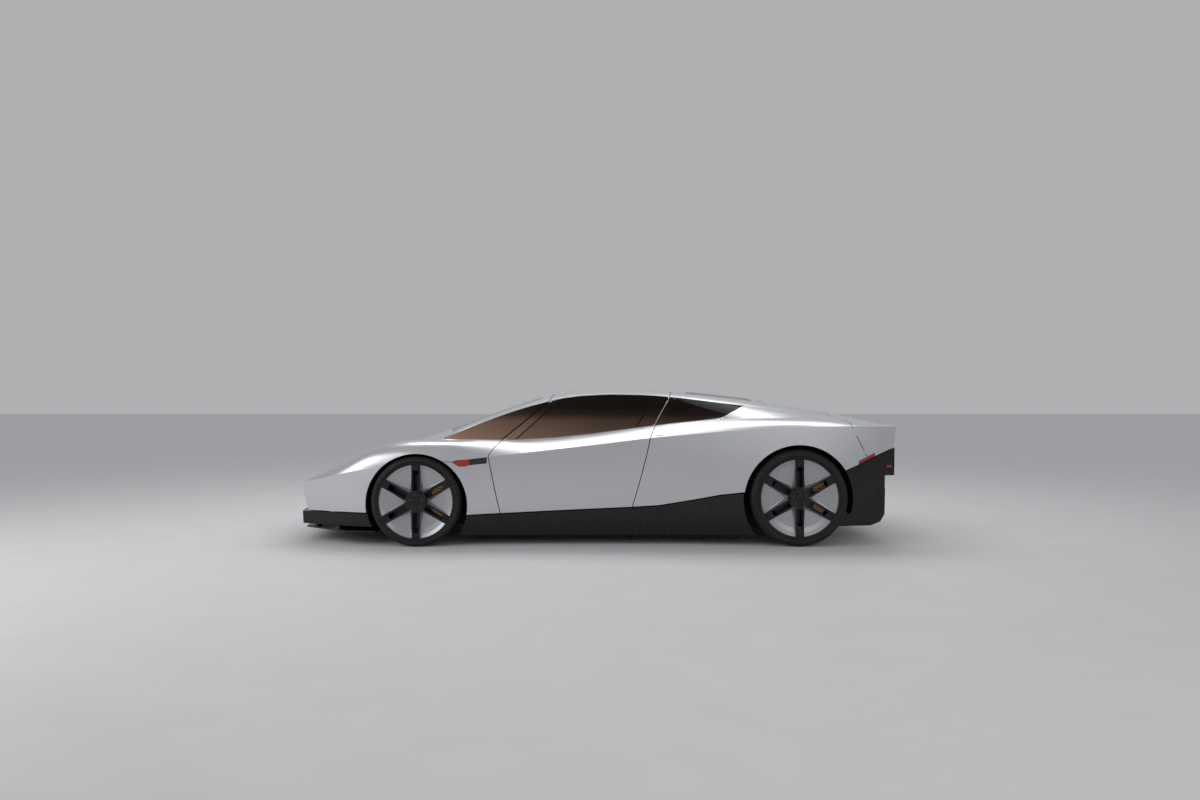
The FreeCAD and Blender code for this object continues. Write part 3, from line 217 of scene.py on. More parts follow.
def black_gloss(name, rough, color):
    mat = material(name, color, rough, coat=0.2, coat_rough=0.04)
    shader_of(mat).inputs["Specular IOR Level"].default_value = 0.28
    vary_color(mat, noise(mat, 40, 4.0), scaled(color, 0.8), scaled(color, 1.3))
    vary_rough(mat, noise(mat, 30, 4.0), rough * 0.85, rough * 1.2)
    return mat


def matte_black(name, rough=0.65, color=(0.014, 0.014, 0.015)):
    mat = material(name, color, rough)
    tex = noise(mat, 900)
    vary_color(mat, tex, scaled(color, 0.75), scaled(color, 1.5))
    bump(mat, tex, 0.30, 0.0004)
    return mat


def rubber_material():
    mat = material("tyre_rubber", (0.012, 0.012, 0.012), 0.58)
    shader_of(mat).inputs["Specular IOR Level"].default_value = 0.30
    vary_color(mat, noise(mat, 14, 5.0), (0.009, 0.009, 0.009), (0.019, 0.0185, 0.018))
    bump(mat, noise(mat, 1600), 0.20, 0.0003)
    return mat


def metal_material(name, color, rough, scale, metal=1.0, contrast=0.05):
    """Metal whose colour and roughness vary a little over a grain of the given scale."""
    mat = material(name, color, rough, metal)
    vary_color(mat, noise(mat, scale), scaled(color, 1 - contrast), scaled(color, 1 + contrast))
    vary_rough(mat, noise(mat, scale * 0.3), rough - 0.06, rough + 0.06)
    return mat


def bronze_with_painted_shade(name, alpha):
    """Side glass with painted shade: bronze low down and to the front, nearly black above and to the rear."""
    mat = material(name, (0.06, 0.04, 0.03), 0.04, ior=1.45, alpha=alpha)
    shader_of(mat).inputs["Specular IOR Level"].default_value = 0.09
    # Painted shade and painted reflection: the colour darkens up the glass and towards the rear, and is
    # lighter low down at the front where the light falls.
    height = ramp(mat, along(mat, "Z", 0.78, 1.16), "Result",
                  [(0.0, (0.40, 0.255, 0.185)), (0.42, (0.22, 0.135, 0.098)), (0.56, (0.060, 0.036, 0.027)),
                   (0.70, (0.022, 0.015, 0.012))])
    length = ramp(mat, along(mat, "X", -1.15, 1.20), "Result",
                  [(0.0, 1.0), (0.25, 0.72), (0.50, 0.42), (0.80, 0.25)])
    tint = multiply(mat, height.outputs["Color"], length.outputs["Color"])
    mat.node_tree.links.new(tint, shader_of(mat).inputs["Base Color"])
    vary_rough(mat, noise(mat, 9, 2.0), 0.02, 0.045)
    return mat


def screen_material():
    mat = material("screen_glass", (0.03, 0.02, 0.016), 0.03, coat=0.5, coat_rough=0.0, alpha=0.62)
    vary_color(mat, noise(mat, 5, 2.0), (0.030, 0.021, 0.017), (0.042, 0.029, 0.022))
    return mat


def leather_material(name, low, high):
    """Hide with a pebbled grain of about 2 mm and uneven colour."""
    mat = material(name, high, 0.48, sheen=0.15)
    cells = node(mat, "ShaderNodeTexVoronoi", Scale=520.0)
    link(mat, coords(mat), "Vector", cells, "Vector")
    vary_color(mat, noise(mat, 22, 5.0), low, high)
    vary_rough(mat, noise(mat, 60), 0.40, 0.56)
    bump(mat, cells, 0.25, 0.0005, "Distance")
    return mat


def carpet_material():
    mat = material("carpet", (0.03, 0.026, 0.024), 0.95, sheen=0.4)
    tufts = noise(mat, 1100, 4.0)
    vary_color(mat, tufts, (0.016, 0.014, 0.013), (0.050, 0.044, 0.040))
    bump(mat, tufts, 0.8, 0.002)
    return mat


def split_lens(name, near, far, at, low, high, again=False):
    """A lens that is near's colour from low, far's from at, and near's again from high where again says so.

    Its fine ribs stand upright on the side and on the tail alike, because they run across X and Y together.
    """
    mat = material(name, near, 0.10, coat=0.8, coat_rough=0.02)
    stops = [(0.0, near), ((at - low) / (high - low), far)] + ([(1.0, near)] if again else [])
    parts = ramp(mat, along(mat, "X", low, high), "Result", stops, True)
    ribs = node(mat, "ShaderNodeTexWave", Scale=90.0, Distortion=0.0)
    ribs.bands_direction = "X"
    place = coords(mat)
    place.inputs["Rotation"].default_value = (0, 0, math.radians(45))
    link(mat, place, "Vector", ribs, "Vector")
    shade = ramp(mat, ribs, "Fac", [(0.0, 0.72), (1.0, 1.0)])
    tint = multiply(mat, parts.outputs["Color"], shade.outputs["Color"])
    mat.node_tree.links.new(tint, shader_of(mat).inputs["Base Color"])
    return mat


def gold_with_painted_rib_shade():
    """Gold paint with painted shade: dark bars between the caliper's ribs."""
    mat = material("caliper_gold", (0.42, 0.25, 0.07), 0.38, metal=0.6)
    painted_rib_shade = node(mat, "ShaderNodeTexWave", Scale=26.0, Distortion=1.5, Detail=1.0)
    painted_rib_shade.bands_direction = "Z"
    link(mat, coords(mat), "Vector", painted_rib_shade, "Vector")
    # Painted shade: the bars are nearly black where the grooves between the ribs would lie in shade.
    vary_color(mat, painted_rib_shade, (0.014, 0.011, 0.008), (0.48, 0.29, 0.085), (0.42, 0.60))
    vary_rough(mat, noise(mat, 300), 0.30, 0.45)
    return mat


PAINT = paint_material()
TRIM = black_gloss("gloss_black", 0.24, (0.008, 0.008, 0.009))
RIM = black_gloss("rim_gloss_black", 0.16, (0.006, 0.006, 0.007))
MATTE = matte_black("underbody_black")
SEAL = matte_black("rubber_seal", 0.85, (0.006, 0.006, 0.006))
shader_of(SEAL).inputs["Specular IOR Level"].default_value = 0.05
RUBBER = rubber_material()
# The panes and their opaque borders both carry this painted shade, darker towards the top and the rear.
GLASS = bronze_with_painted_shade("bronze_glass", 0.86)
FRIT = bronze_with_painted_shade("bronze_frit", 1.0)
SCREEN = screen_material()
TAN = leather_material("tan_hide", (0.26, 0.145, 0.082), (0.36, 0.21, 0.125))
DARK_HIDE = leather_material("dark_hide", (0.020, 0.017, 0.016), (0.040, 0.034, 0.030))
CARPET = carpet_material()
INSERT = metal_material("satin_insert", (0.40, 0.41, 0.43), 0.34, 1500, metal=0.85, contrast=0.03)
# Bright metal for the pedals and the corner trim, also used as a painted highlight on the inserts' edges and
# beside the tail seam.
BRIGHT_METAL_AND_HIGHLIGHT = metal_material("bright_metal_and_painted_highlight", (0.80, 0.80, 0.81), 0.20, 900, contrast=0.03)
DISC = metal_material("turned_iron", (0.045, 0.045, 0.047), 0.42, 300)
GOLD = gold_with_painted_rib_shade()
CAST = metal_material("cast_alloy", (0.30, 0.31, 0.32), 0.5, 400, contrast=0.12)
STEEL = metal_material("dark_steel", (0.08, 0.08, 0.085), 0.45, 260, contrast=0.1)
SIDE_LENS = split_lens("side_lamp_lens", (0.42, 0.022, 0.012), (0.008, 0.008, 0.009), -0.940, -1.10, -0.78)
TAIL_LENS = split_lens("tail_lamp_lens", (0.36, 0.012, 0.012), (0.60, 0.62, 0.66), 2.128, 1.98, 2.19, True)
BAR_LENS = material("tail_bar_lens", (0.36, 0.012, 0.010), 0.12, coat=0.8)
vary_color(BAR_LENS, noise(BAR_LENS, 260, 1.0, (1, 1, 0.2)), (0.28, 0.006, 0.005), (0.46, 0.020, 0.014))
HEAD_LENS = material("head_lamp_lens", (0.12, 0.125, 0.13), 0.06, metal=0.2, coat=1.0)
vary_color(HEAD_LENS, noise(HEAD_LENS, 90, 1.0, (1, 1, 0.2)), (0.05, 0.052, 0.056), (0.20, 0.205, 0.215))
LED = material("led_unit", (0.85, 0.87, 0.90), 0.12, metal=0.1, coat=1.0)
vary_color(LED, noise(LED, 400, 1.0), (0.75, 0.78, 0.82), (0.92, 0.94, 0.96))
DISPLAY = material("display_glass", (0.006, 0.006, 0.007), 0.05, coat=1.0)
vary_rough(DISPLAY, noise(DISPLAY, 40, 2.0), 0.03, 0.08)

# Looks of the part's own nodes: by the record's material slot, and by node where that says more
SLOT_LOOKS = {
    "paint": PAINT, "black_trim": TRIM, "matte_black": MATTE, "glass": GLASS, "lamp_clear": HEAD_LENS,
    "lamp_red": TAIL_LENS, "leather": TAN, "cast_metal": CAST, "steel": STEEL, "caliper_gold": GOLD,
    "tyre": RUBBER, "rim_black": RIM, "insert_silver": INSERT, "disc_iron": DISC,
}
NODE_LOOKS = {
    "windscreen": SCREEN, "rear_window": SCREEN, "side_lamps": SIDE_LENS, "dashboard": DARK_HIDE,
    "centre_console": DARK_HIDE, "steering_wheel": DARK_HIDE, "floor_tub": CARPET,
}
for part in frame["record"]["subparts"]:
    look = NODE_LOOKS.get(part["node"], SLOT_LOOKS[part["material_slot"]])
    obj = NODES[part["node"]]
    obj.data.materials.clear()
    obj.data.materials.append(look)


# Geometry helpers
def linked(name, data):
    """A new object in the scene."""
    obj = bpy.data.objects.new(name, data)
    bpy.context.scene.collection.objects.link(obj)
    return obj


def closed_mesh(name, verts, faces):
    """A mesh whose normals all face outward."""
    mesh = bpy.data.meshes.new(name)
    mesh.from_pydata(verts, [], faces)
    bm = bmesh.new()
    bm.from_mesh(mesh)
    bmesh.ops.recalc_face_normals(bm, faces=bm.faces)
    bm.to_mesh(mesh)
    bm.free()
    return mesh


def dressed(obj, mat, body, smooth_angle):
    """Gives a piece its material and its body, smooth up to an angle in degrees."""
    obj.data.materials.clear()
    obj.data.materials.append(mat)
    obj.data.shade_smooth()
    obj.data.set_sharp_from_angle(angle=math.radians(smooth_angle))
    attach(obj, body)
    return obj


def mesh_piece(name, verts, faces, mat, body, smooth_angle):
    return dressed(linked(name, closed_mesh(name, verts, faces)), mat, body, smooth_angle)


def tree_of(*names):
    """A search tree over the faces of CAD nodes at rest."""
    verts, faces = [], []
    for name in names:
        mesh = NODES[name].data
        start = len(verts)
        verts += [v.co.copy() for v in mesh.vertices]
        faces += [[start + i for i in p.vertices] for p in mesh.polygons]
    return BVHTree.FromPolygons(verts, faces)


def seen_from(tree, start, way, nearest, reach=10.0):
    """The (point, normal) that a ray meets within reach, or else the one nearest to a point.

    The normal faces the ray.
    """
    hit, normal, _, _ = tree.ray_cast(start, way, reach)
    if hit is None:
        hit, normal, _, _ = tree.find_nearest(nearest)
    return hit, (normal if normal.dot(way) < 0 else -normal)


def on_side(tree, x, z):
    """The outer surface's (point, normal) at (x, z), seen from the car's left."""
    return seen_from(tree, Vector((x, -1.3, z)), Vector((0, 1, 0)), Vector((x, -0.92, z)), 1.0)


def on_nose(tree, y, z):
    """The nose's (point, normal) at (y, z), seen from the front."""
    return seen_from(tree, Vector((-2.8, y, z)), Vector((1, 0, 0)), Vector((-2.28, y, z)))


def on_tail(tree, y, z):
    """The tail's (point, normal) at (y, z), seen from the rear."""
    return seen_from(tree, Vector((2.8, y, z)), Vector((-1, 0, 0)), Vector((2.32, y, z)))


def spread(points, count):
    """count + 1 points evenly spaced along a polyline."""
    lengths = [math.dist(a, b) for a, b in zip(points, points[1:])]
    total = sum(lengths)
    made = []
    for i in range(count + 1):
        at = total * i / count
        k = 0
        while k < len(lengths) - 1 and at > lengths[k]:
            at -= lengths[k]
            k += 1
        t = min(1.0, at / lengths[k])
        made.append(tuple(p + (q - p) * t for p, q in zip(points[k], points[k + 1])))
    return made


def line_rows(tree, points, width, count):
    """Rows across a strip on the car's left side that follows (x, z) points."""
    path = spread(points, count)
    rows = []
    for i, (u, v) in enumerate(path):
        a, b = path[max(0, i - 1)], path[min(count, i + 1)]
        step = Vector((b[0] - a[0], b[1] - a[1])).normalized() * (width / 2)
        rows.append([on_side(tree, u - k * step.y, v + k * step.x) for k in (-1, 1)])
    return rows


def area_rows(tree, near, far, rows_n, columns_n, seen=on_side):
    """Rows over the surface between two polylines: of (x, z) on the side, and of (y, z) on nose and tail."""
    a, b = spread(near, rows_n), spread(far, rows_n)
    made = []
    for p, q in zip(a, b):
        row = []
        for k in range(columns_n + 1):
            t = k / columns_n
            row.append(seen(tree, p[0] + (q[0] - p[0]) * t, p[1] + (q[1] - p[1]) * t))
        made.append(row)
    return made


def skin(name, rows, mat, body, lift, sink=0.0012, sides=SIDES):
    """A thin closed plate over rows of (point, normal) on the left side, and its mirror image on the right.

    Its faces lie lift above and sink below the surface. A piece on the left door has its twin on the
    right one. What spans the whole car, such as a slat, is made once, with the left side alone in sides.
    """
    n, m = len(rows), len(rows[0])
    rim = [(0, j) for j in range(m)] + [(i, m - 1) for i in range(1, n)]
    rim += [(n - 1, j) for j in range(m - 2, -1, -1)] + [(i, 0) for i in range(n - 2, 0, -1)]
    faces = []
    for i in range(n - 1):
        for j in range(m - 1):
            a = i * m + j
            quad = (a, a + 1, a + m + 1, a + m)
            faces += [quad, tuple(v + n * m for v in reversed(quad))]
    for (i, j), (k, l) in zip(rim, rim[1:] + rim[:1]):
        a, b = i * m + j, k * m + l
        faces.append((b, a, a + n * m, b + n * m))
    for side in sides:
        flip = -1 if side == "right" else 1
        verts = []
        for step in (lift, -sink):
            for row in rows:
                for point, normal in row:
                    at = point + normal * step
                    verts.append((at.x, at.y * flip, at.z))
        title = f"{name}_{side}" if len(sides) > 1 else name
        mesh_piece(title, verts, faces, mat, body.replace("left", side), 40)


def prism_faces(n):
    """The faces of a prism whose n corners at one end come before the n at the other."""
    ends = [tuple(range(n)), tuple(range(2 * n - 1, n - 1, -1))]
    return ends + [(i, (i + 1) % n, n + (i + 1) % n, n + i) for i in range(n)]


def prism_cutter(points, low, high):
    """A closed prism over (x, z) points, from y low to y high."""
    verts = [(x, y, z) for y in (low, high) for x, z in points]
    return linked("cutter", closed_mesh("cutter", verts, prism_faces(len(points))))


def applied(obj):
    """The object, with its modifiers baked into its mesh."""
    bpy.context.view_layer.update()
    done = bpy.data.meshes.new_from_object(obj.evaluated_get(bpy.context.evaluated_depsgraph_get()))
    obj.modifiers.clear()
    old, obj.data = obj.data, done
    bpy.data.meshes.remove(old)
    return obj


def border_of(name, source, cutters, shift, body):
    """A pane's opaque border: a copy of it moved outward by shift, with its clear middle cut away."""
    mesh = bpy.data.meshes.new(name)
    bm = bmesh.new()
    bm.from_mesh(NODES[source].data)
    bmesh.ops.remove_doubles(bm, verts=bm.verts, dist=1e-6)
    bmesh.ops.translate(bm, verts=bm.verts, vec=shift)
    bm.to_mesh(mesh)
    bm.free()
    obj = linked(name, mesh)
    for cutter in cutters:
        cut = obj.modifiers.new("cut", "BOOLEAN")
        cut.operation = "DIFFERENCE"
        cut.solver = "EXACT"
        cut.object = cutter
    applied(obj)
    for cutter in cutters:
        bpy.data.objects.remove(cutter)
    dressed(obj, FRIT, body, 30)


# Side glass: the opaque borders, the divider lines and the strips, lips and seals at the door's shut lines
def evenly(x0, x1, count):
    """count + 1 evenly spaced values from x0 to x1."""
    return [x0 + (x1 - x0) * i / count for i in range(count + 1)]


# The front and rear end of the door pane's clear middle, at the belt and at the rail
DOOR_FOOT, DOOR_HEAD = (-0.600, 0.322), (-0.262, 0.478)
door_clear = [(x, belt_z(x) + GLASS_INSET) for x in evenly(*DOOR_FOOT, 24)]
door_clear += [(x, rail_z(x) - GLASS_INSET) for x in evenly(*reversed(DOOR_HEAD), 24)]
rear_clear = [(x, belt_z(x) + GLASS_INSET) for x in evenly(0.545, 0.90, 12)] + [(0.966, 0.984)]
rear_clear += [(x, rail_z(x) - GLASS_INSET) for x in evenly(1.120, 0.645, 14)]
for side in SIDES:
    flip = -1 if side == "left" else 1
    push = (0, flip * BORDER_LIFT, 0)
    low, high = sorted((flip * 0.2, flip * 1.3))
    border_of(f"door_glass_border_{side}", f"door_glass_{side}", [prism_cutter(door_clear, low, high)], push,
              f"door_{side}")
both_clear = [prism_cutter(rear_clear, -1.3, -0.2), prism_cutter(rear_clear, 0.2, 1.3)]
border_of("rear_quarter_border", "rear_quarter_glass", both_clear, (0, 0, BORDER_LIFT), "root")

DOOR_TREE = tree_of("door_left")
PANE_TREE = tree_of("door_glass_left")
CLAM_TREE = tree_of("rear_clam", "tail_panel")
NOSE_TREE = tree_of("front_clam", "canopy_frame")
BUMPER_TREE = tree_of("rear_diffuser")


def from_left(tree, x, z, reach=10.0):
    """The (point, outward normal) that a ray from the left meets at (x, z), or (None, None)."""
    hit, normal, _, _ = tree.ray_cast(Vector((x, -1.3, z)), Vector((0, 1, 0)), reach)
    return hit, (normal if hit is None or normal.y < 0 else -normal)


def first_x(tree, z, x0, x1):
    """The first x from x0 towards x1, in steps of 1 mm, at which a ray from the left meets the near side."""
    count = int(abs(x1 - x0) / 0.001)
    for i in range(count):
        x = x0 + (x1 - x0) * i / count
        if from_left(tree, x, z, 0.8)[0] is not None:
            return x
    return None


def edge_strip(name, x_out, x_in, z_low, z_high):
    """A bronze strip over the door's painted edge, from its shut line to 6 mm inside its glass."""
    rows = []
    for z in evenly(z_low, z_high, 16):
        outer = first_x(DOOR_TREE, z, x_out, x_in)
        inner = first_x(PANE_TREE, z, x_out, x_in)
        way = 1 if inner > outer else -1
        row = []
        for k in range(4):
            x = outer + way * 0.0008 + (inner + way * 0.006 - outer) * k / 3
            hit, normal = from_left(DOOR_TREE, x, z)
            if k == 3 or hit is None:
                hit, normal = from_left(PANE_TREE, x, z)
            row.append((hit, normal))
        rows.append(row)
    skin(name, rows, FRIT, "door_left", 0.0008, 0.0012)


edge_strip("door_front_glass_edge", -0.80, 0.0, 0.806, 1.086)
edge_strip("door_rear_glass_edge", 0.68, 0.2, 0.915, 1.128)


def gap_rows(x_out, x_in, z_low, z_high, inset, *spans):
    """For each (near, far) span, rows of two points that far outside the door's edge.

    Their height and normal are those of the door's surface, read inset inside its edge.
    """
    way = -1 if x_in > x_out else 1
    rows = [[] for _ in spans]
    for z in evenly(z_low, z_high, 24):
        edge = first_x(DOOR_TREE, z, x_out, x_in)
        hit, normal = from_left(DOOR_TREE, edge - way * inset, z) if edge is not None else (None, None)
        if hit is not None:
            for made, span in zip(rows, spans):
                made.append([(hit + Vector((way * dx, 0, 0)), normal) for dx in span])
    return rows


# Dark lips on both edges of the door's shut gap where it crosses the side glass
for name, run, lip in (("door_front", (-0.84, 0.0, 0.800, 1.088), 0.0051),
                       ("door_rear", (0.70, 0.2, 0.908, 1.136), 0.0120)):
    door_rows, body_rows = gap_rows(*run, 0.004, (0.0, 0.0042), (0.0084, 0.0084 + lip))
    skin(f"{name}_door_lip", door_rows, SEAL, "door_left", 0.0014, 0.002)
    skin(f"{name}_body_lip", body_rows, SEAL, "root", 0.0014, 0.002)

# A dark rubber seal in the door's shut gap, a little below the surface
for name, run in (("door_front_seal", (-0.84, 0.0, 0.700, 1.090)),
                  ("door_rear_seal", (0.70, 0.2, 0.330, 1.130))):
    skin(name, gap_rows(*run, 0.002, (0.0026, 0.0072))[0], SEAL, "root", -0.0012, 0.006)

# The divider lines across the door's glass, from the belt to the rail
for name, foot, head in (("door_front_divider", DOOR_FOOT[0] - 0.004, DOOR_HEAD[0] - 0.004),
                         ("door_rear_divider", DOOR_FOOT[1] + 0.003, DOOR_HEAD[1] + 0.003)):
    across = [(foot, belt_z(foot) + 0.009), (head, rail_z(head) - 0.009)]
    skin(name, line_rows(PANE_TREE, across, 0.0075, 16), SEAL, "door_left", 0.0012, 0.001)

# Bright trim round the rear quarter glass's rear corner
CORNER_TREE = tree_of("rear_quarter_glass", "rear_clam", "canopy_frame")
corner = [(0.955, belt_z(0.955) - 0.001), (0.990, 0.9665), (1.1905, 1.0600), (1.150, rail_z(1.150) + 0.001)]
skin("quarter_corner_trim", line_rows(CORNER_TREE, corner, 0.006, 40), BRIGHT_METAL_AND_HIGHLIGHT, "root",
     0.0014, 0.001)

# Thin lines and small parts on the sides
skin("tail_seam", line_rows(CLAM_TREE, [(2.062, 0.679), (1.948, 0.905), (1.962, 0.950)], 0.0045, 40),
     SEAL, "root", 0.0006)
# Painted highlight: a bright strip beside the tail seam, for the light caught on its edge.
skin("tail_seam_painted_highlight", line_rows(CLAM_TREE, [(1.984, 0.836), (1.957, 0.888)], 0.006, 10),
     BRIGHT_METAL_AND_HIGHLIGHT, "root", 0.0010)
skin("wing_seam", line_rows(NOSE_TREE, [(-1.176, 0.6405), (-1.120, 0.6415), (-1.072, 0.6400)], 0.0035, 12),
     SEAL, "root", 0.0005)
skin("door_touch_rim",
     area_rows(CLAM_TREE, [(0.466, 0.832), (0.466, 0.888)], [(0.520, 0.836), (0.520, 0.893)], 6, 6),
     SEAL, "root", 0.0003)
skin("door_touch_point",
     area_rows(CLAM_TREE, [(0.4685, 0.8348), (0.4685, 0.8860)], [(0.5175, 0.8385), (0.5175, 0.8904)], 6, 6),
     PAINT, "root", 0.0009)
skin("rear_side_reflector",
     area_rows(BUMPER_TREE, [(2.232, 0.592), (2.232, 0.608)], [(2.270, 0.592), (2.270, 0.608)], 4, 6),
     BAR_LENS, "root", 0.003)

# Wheels
TREAD_PITCHES = 72
PITCH_STEPS = (0.0, 0.42, 0.47, 0.72, 0.77)     # along a pitch: a sipe from 0.42 to 0.47, a groove from 0.72
RIB_EDGES = (0.0, 0.26, 0.30, 0.60, 0.645, 0.80)    # the ribs' edges, as shares of the tyre's half width
TREAD_GROOVE = 0.006        # the depth of grooves and sipes
TREAD_SLANT = 0.0275        # how far a cross groove leans round the tyre from its middle to its shoulder
SPOKES = 6
BOLTS, BOLT_CIRCLE = 5, 0.050
BOLT_RINGS = ((0.004, 0.0085), (-0.0022, 0.0085), (-0.0034, 0.0068))    # (depth, radius) of a bolt's corners
HUB_CAP = ((0.003, 0.0), (0.003, 0.031), (0.0005, 0.031), (-0.0030, 0.0285), (-0.0042, 0.0245),
           (-0.0036, 0.0225), (-0.0044, 0.012), (-0.0046, 0.0))         # (depth, radius)
SPOKE_HALF = 0.033          # half a spoke's width
SPOKE_ROOT = 0.084          # the radius at which the inserts' walls begin
WALL_STATIONS = 14
INSERT_EDGE = 0.0154        # from the rim's radius in to the inserts' outer edge
DISH_ROOT = (0.076, 0.046)  # (radius, depth) of the inserts' face at the hub
DISH_FOLDS = ((-0.062, 0.030), (-0.027, 0.021), (0.0, 0.009))   # (radius from the outer edge, depth)


def ring_place(end, side, depth, radius, angle, shift=0.0):
    """A point on a wheel: depth inward from its face, at a radius and angle, shifted across that direction."""
    sign = -1 if side == "left" else 1
    c, s = math.cos(angle), math.sin(angle)
    y = sign * (FACE_Y - depth)
    return AXLE_X[end] + radius * c - shift * s, y, TYRE_R[end] + radius * s + shift * c


def tyre_piece(end, side):
    """A tyre with ribs, sipes and shoulder grooves, on the form of the part's own tyre."""
    x0, radius, width, rim = AXLE_X[end], TYRE_R[end], TYRE_W[end], RIM_R[end]
    sign = -1 if side == "left" else 1
    half = width / 2
    slant = TREAD_SLANT / radius

    def crown(share):
        """Radius of the tread at a share of the half width."""
        shoulder = RIB_EDGES[-1]
        if share < shoulder:
            return radius - 0.0008 * share
        over = (share - shoulder) / 0.20
        return radius - 0.0006 - 0.022 * over ** 2.2

    ring = [(share, crown(share), True) for share in RIB_EDGES + (0.86, 0.91, 0.96, 1.0)]
    wall = ((1.018, radius - 0.028), (1.028, radius - 0.033), (1.031, (radius + rim) / 2 + 0.002),
            (1.026, rim + 0.0135), (1.018, rim + 0.0105), (1.008, rim + 0.0080), (0.985, rim + 0.0055),
            (1 - 0.0055 / half, rim + 0.0045), (1 - 0.0058 / half, rim + 0.0004),
            (1 - 0.034 / half, rim + 0.0004))
    half_ring = ring + [(share, r, False) for share, r in wall]
    full = [(-s, r, k) for s, r, k in reversed(half_ring)] + half_ring[1:]
    verts, faces = [], []
    for p in range(TREAD_PITCHES):
        for step in PITCH_STEPS:
            for share, r, tread in full:
                lean = slant * share if tread else 0.0
                angle = (p + step) / TREAD_PITCHES * 2 * math.pi + lean
                y = sign * (FACE_Y - half - share * half)
                verts.append((x0 + r * math.cos(angle), y, radius + r * math.sin(angle)))
    n = len(full)
    count = TREAD_PITCHES * len(PITCH_STEPS)
    for c in range(count):
        d = (c + 1) % count
        for i in range(n):
            j = (i + 1) % n
            faces.append((c * n + i, d * n + i, d * n + j, c * n + j))
    obj = mesh_piece(f"tread_tyre_{end}_{side}", verts, faces, RUBBER, f"wheel_{end}_{side}", 30)
    bm = bmesh.new()
    bm.from_mesh(obj.data)
    deep = []
    for face in bm.faces:
        centre = face.calc_center_median()
        if math.hypot(centre.x - x0, centre.z - radius) < radius - 0.02:
            continue
        across = (FACE_Y - abs(centre.y) - half) / half
        share = abs(across)
        turn = math.atan2(centre.z - radius, centre.x - x0) / (2 * math.pi) * TREAD_PITCHES
        local = (turn - slant * across / (2 * math.pi) * TREAD_PITCHES) % 1.0
        ring_groove = 0.26 < share < 0.30 or 0.60 < share < 0.645
        cross_groove = 0.73 < local < 0.765 and share > 0.30
        sipe = 0.425 < local < 0.465 and 0.30 < share < 0.60
        if ring_groove or cross_groove or sipe:
            deep.append(face)
    bmesh.ops.inset_region(bm, faces=deep, thickness=0.0004, depth=0.0, use_even_offset=False)
    for vert in {v for f in deep for v in f.verts}:
        radial = Vector((vert.co.x - x0, 0, vert.co.z - radius))
        vert.co -= radial.normalized() * TREAD_GROOVE
    bm.to_mesh(obj.data)
    bm.free()
    obj.data.set_sharp_from_angle(angle=math.radians(30))
    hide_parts(f"tyre_{end}_{side}")


def lathe(name, profile, end, side, mat):
    """A turned piece about a wheel's axle from (depth, radius) points. Ends at radius 0 close it."""
    verts, faces, rings = [], [], []
    count = 48
    for depth, radius in profile:
        if radius < 1e-6:
            rings.append([len(verts)])
            verts.append(ring_place(end, side, depth, 0, 0))
        else:
            rings.append([len(verts) + i for i in range(count)])
            verts += [ring_place(end, side, depth, radius, 2 * math.pi * i / count) for i in range(count)]
    for here, after in zip(rings, rings[1:]):
        for i in range(count):
            a, b = here[i % len(here)], here[(i + 1) % len(here)]
            c, d = after[(i + 1) % len(after)], after[i % len(after)]
            corners = []
            for v in (a, b, c, d):
                if v not in corners:
                    corners.append(v)
            if len(corners) > 2:
                faces.append(corners)
    mesh_piece(name, verts, faces, mat, f"wheel_{end}_{side}", 30)


def dish_depth(end, radius):
    """Depth of the silver inserts' face at a radius."""
    edge = RIM_R[end] - INSERT_EDGE
    line = [DISH_ROOT] + [(edge + shift, depth) for shift, depth in DISH_FOLDS]
    for (r0, d0), (r1, d1) in zip(line, line[1:]):
        if radius <= r1:
            return d0 + (d1 - d0) * (radius - r0) / (r1 - r0)
    return line[-1][1]


def insert_walls(end, side):
    """The sloping walls of the inserts along both sides of each spoke, with a painted highlight: bright strips
    along their edges.
    """
    tip = RIM_R[end] - INSERT_EDGE - 0.004
    for name, mat in (("walls", INSERT), ("bright", BRIGHT_METAL_AND_HIGHLIGHT)):
        verts, faces = [], []
        for spoke in range(SPOKES):
            angle = (spoke + 0.5) * 2 * math.pi / SPOKES
            for way in (-1, 1):
                start = len(verts)
                for i in range(WALL_STATIONS + 1):
                    r = SPOKE_ROOT + (tip - SPOKE_ROOT) * i / WALL_STATIONS
                    share = i / WALL_STATIONS
                    top = 0.0165 - 0.0085 * share
                    low = dish_depth(end, r)
                    foot = SPOKE_HALF + (0.017 * (1 - share) + 0.003 * share)
                    if name == "walls":
                        cut = ((SPOKE_HALF + 0.0002, top), (SPOKE_HALF + 0.0002, low + 0.003),
                               (foot, low + 0.0006))
                    else:
                        # Painted highlight: a bright strip along the wall's foot, for the light caught on that
                        # edge.
                        cut = ((foot - 0.0008, low - 0.0012), (foot - 0.0008, low + 0.0008),
                               (foot + 0.0010, low + 0.0008), (foot + 0.0010, low - 0.0008))
                    for shift, depth in cut:
                        verts.append(ring_place(end, side, depth, r, angle, way * shift))
                k = len(cut)
                for i in range(WALL_STATIONS):
                    a, b = start + i * k, start + (i + 1) * k
                    for j in range(k):
                        faces.append((a + j, a + (j + 1) % k, b + (j + 1) % k, b + j))
                faces.append(tuple(start + j for j in range(k)))
                faces.append(tuple(start + WALL_STATIONS * k + j for j in range(k)))
        mesh_piece(f"insert_{name}_{end}_{side}", verts, faces, mat, f"wheel_{end}_{side}",
                   25)


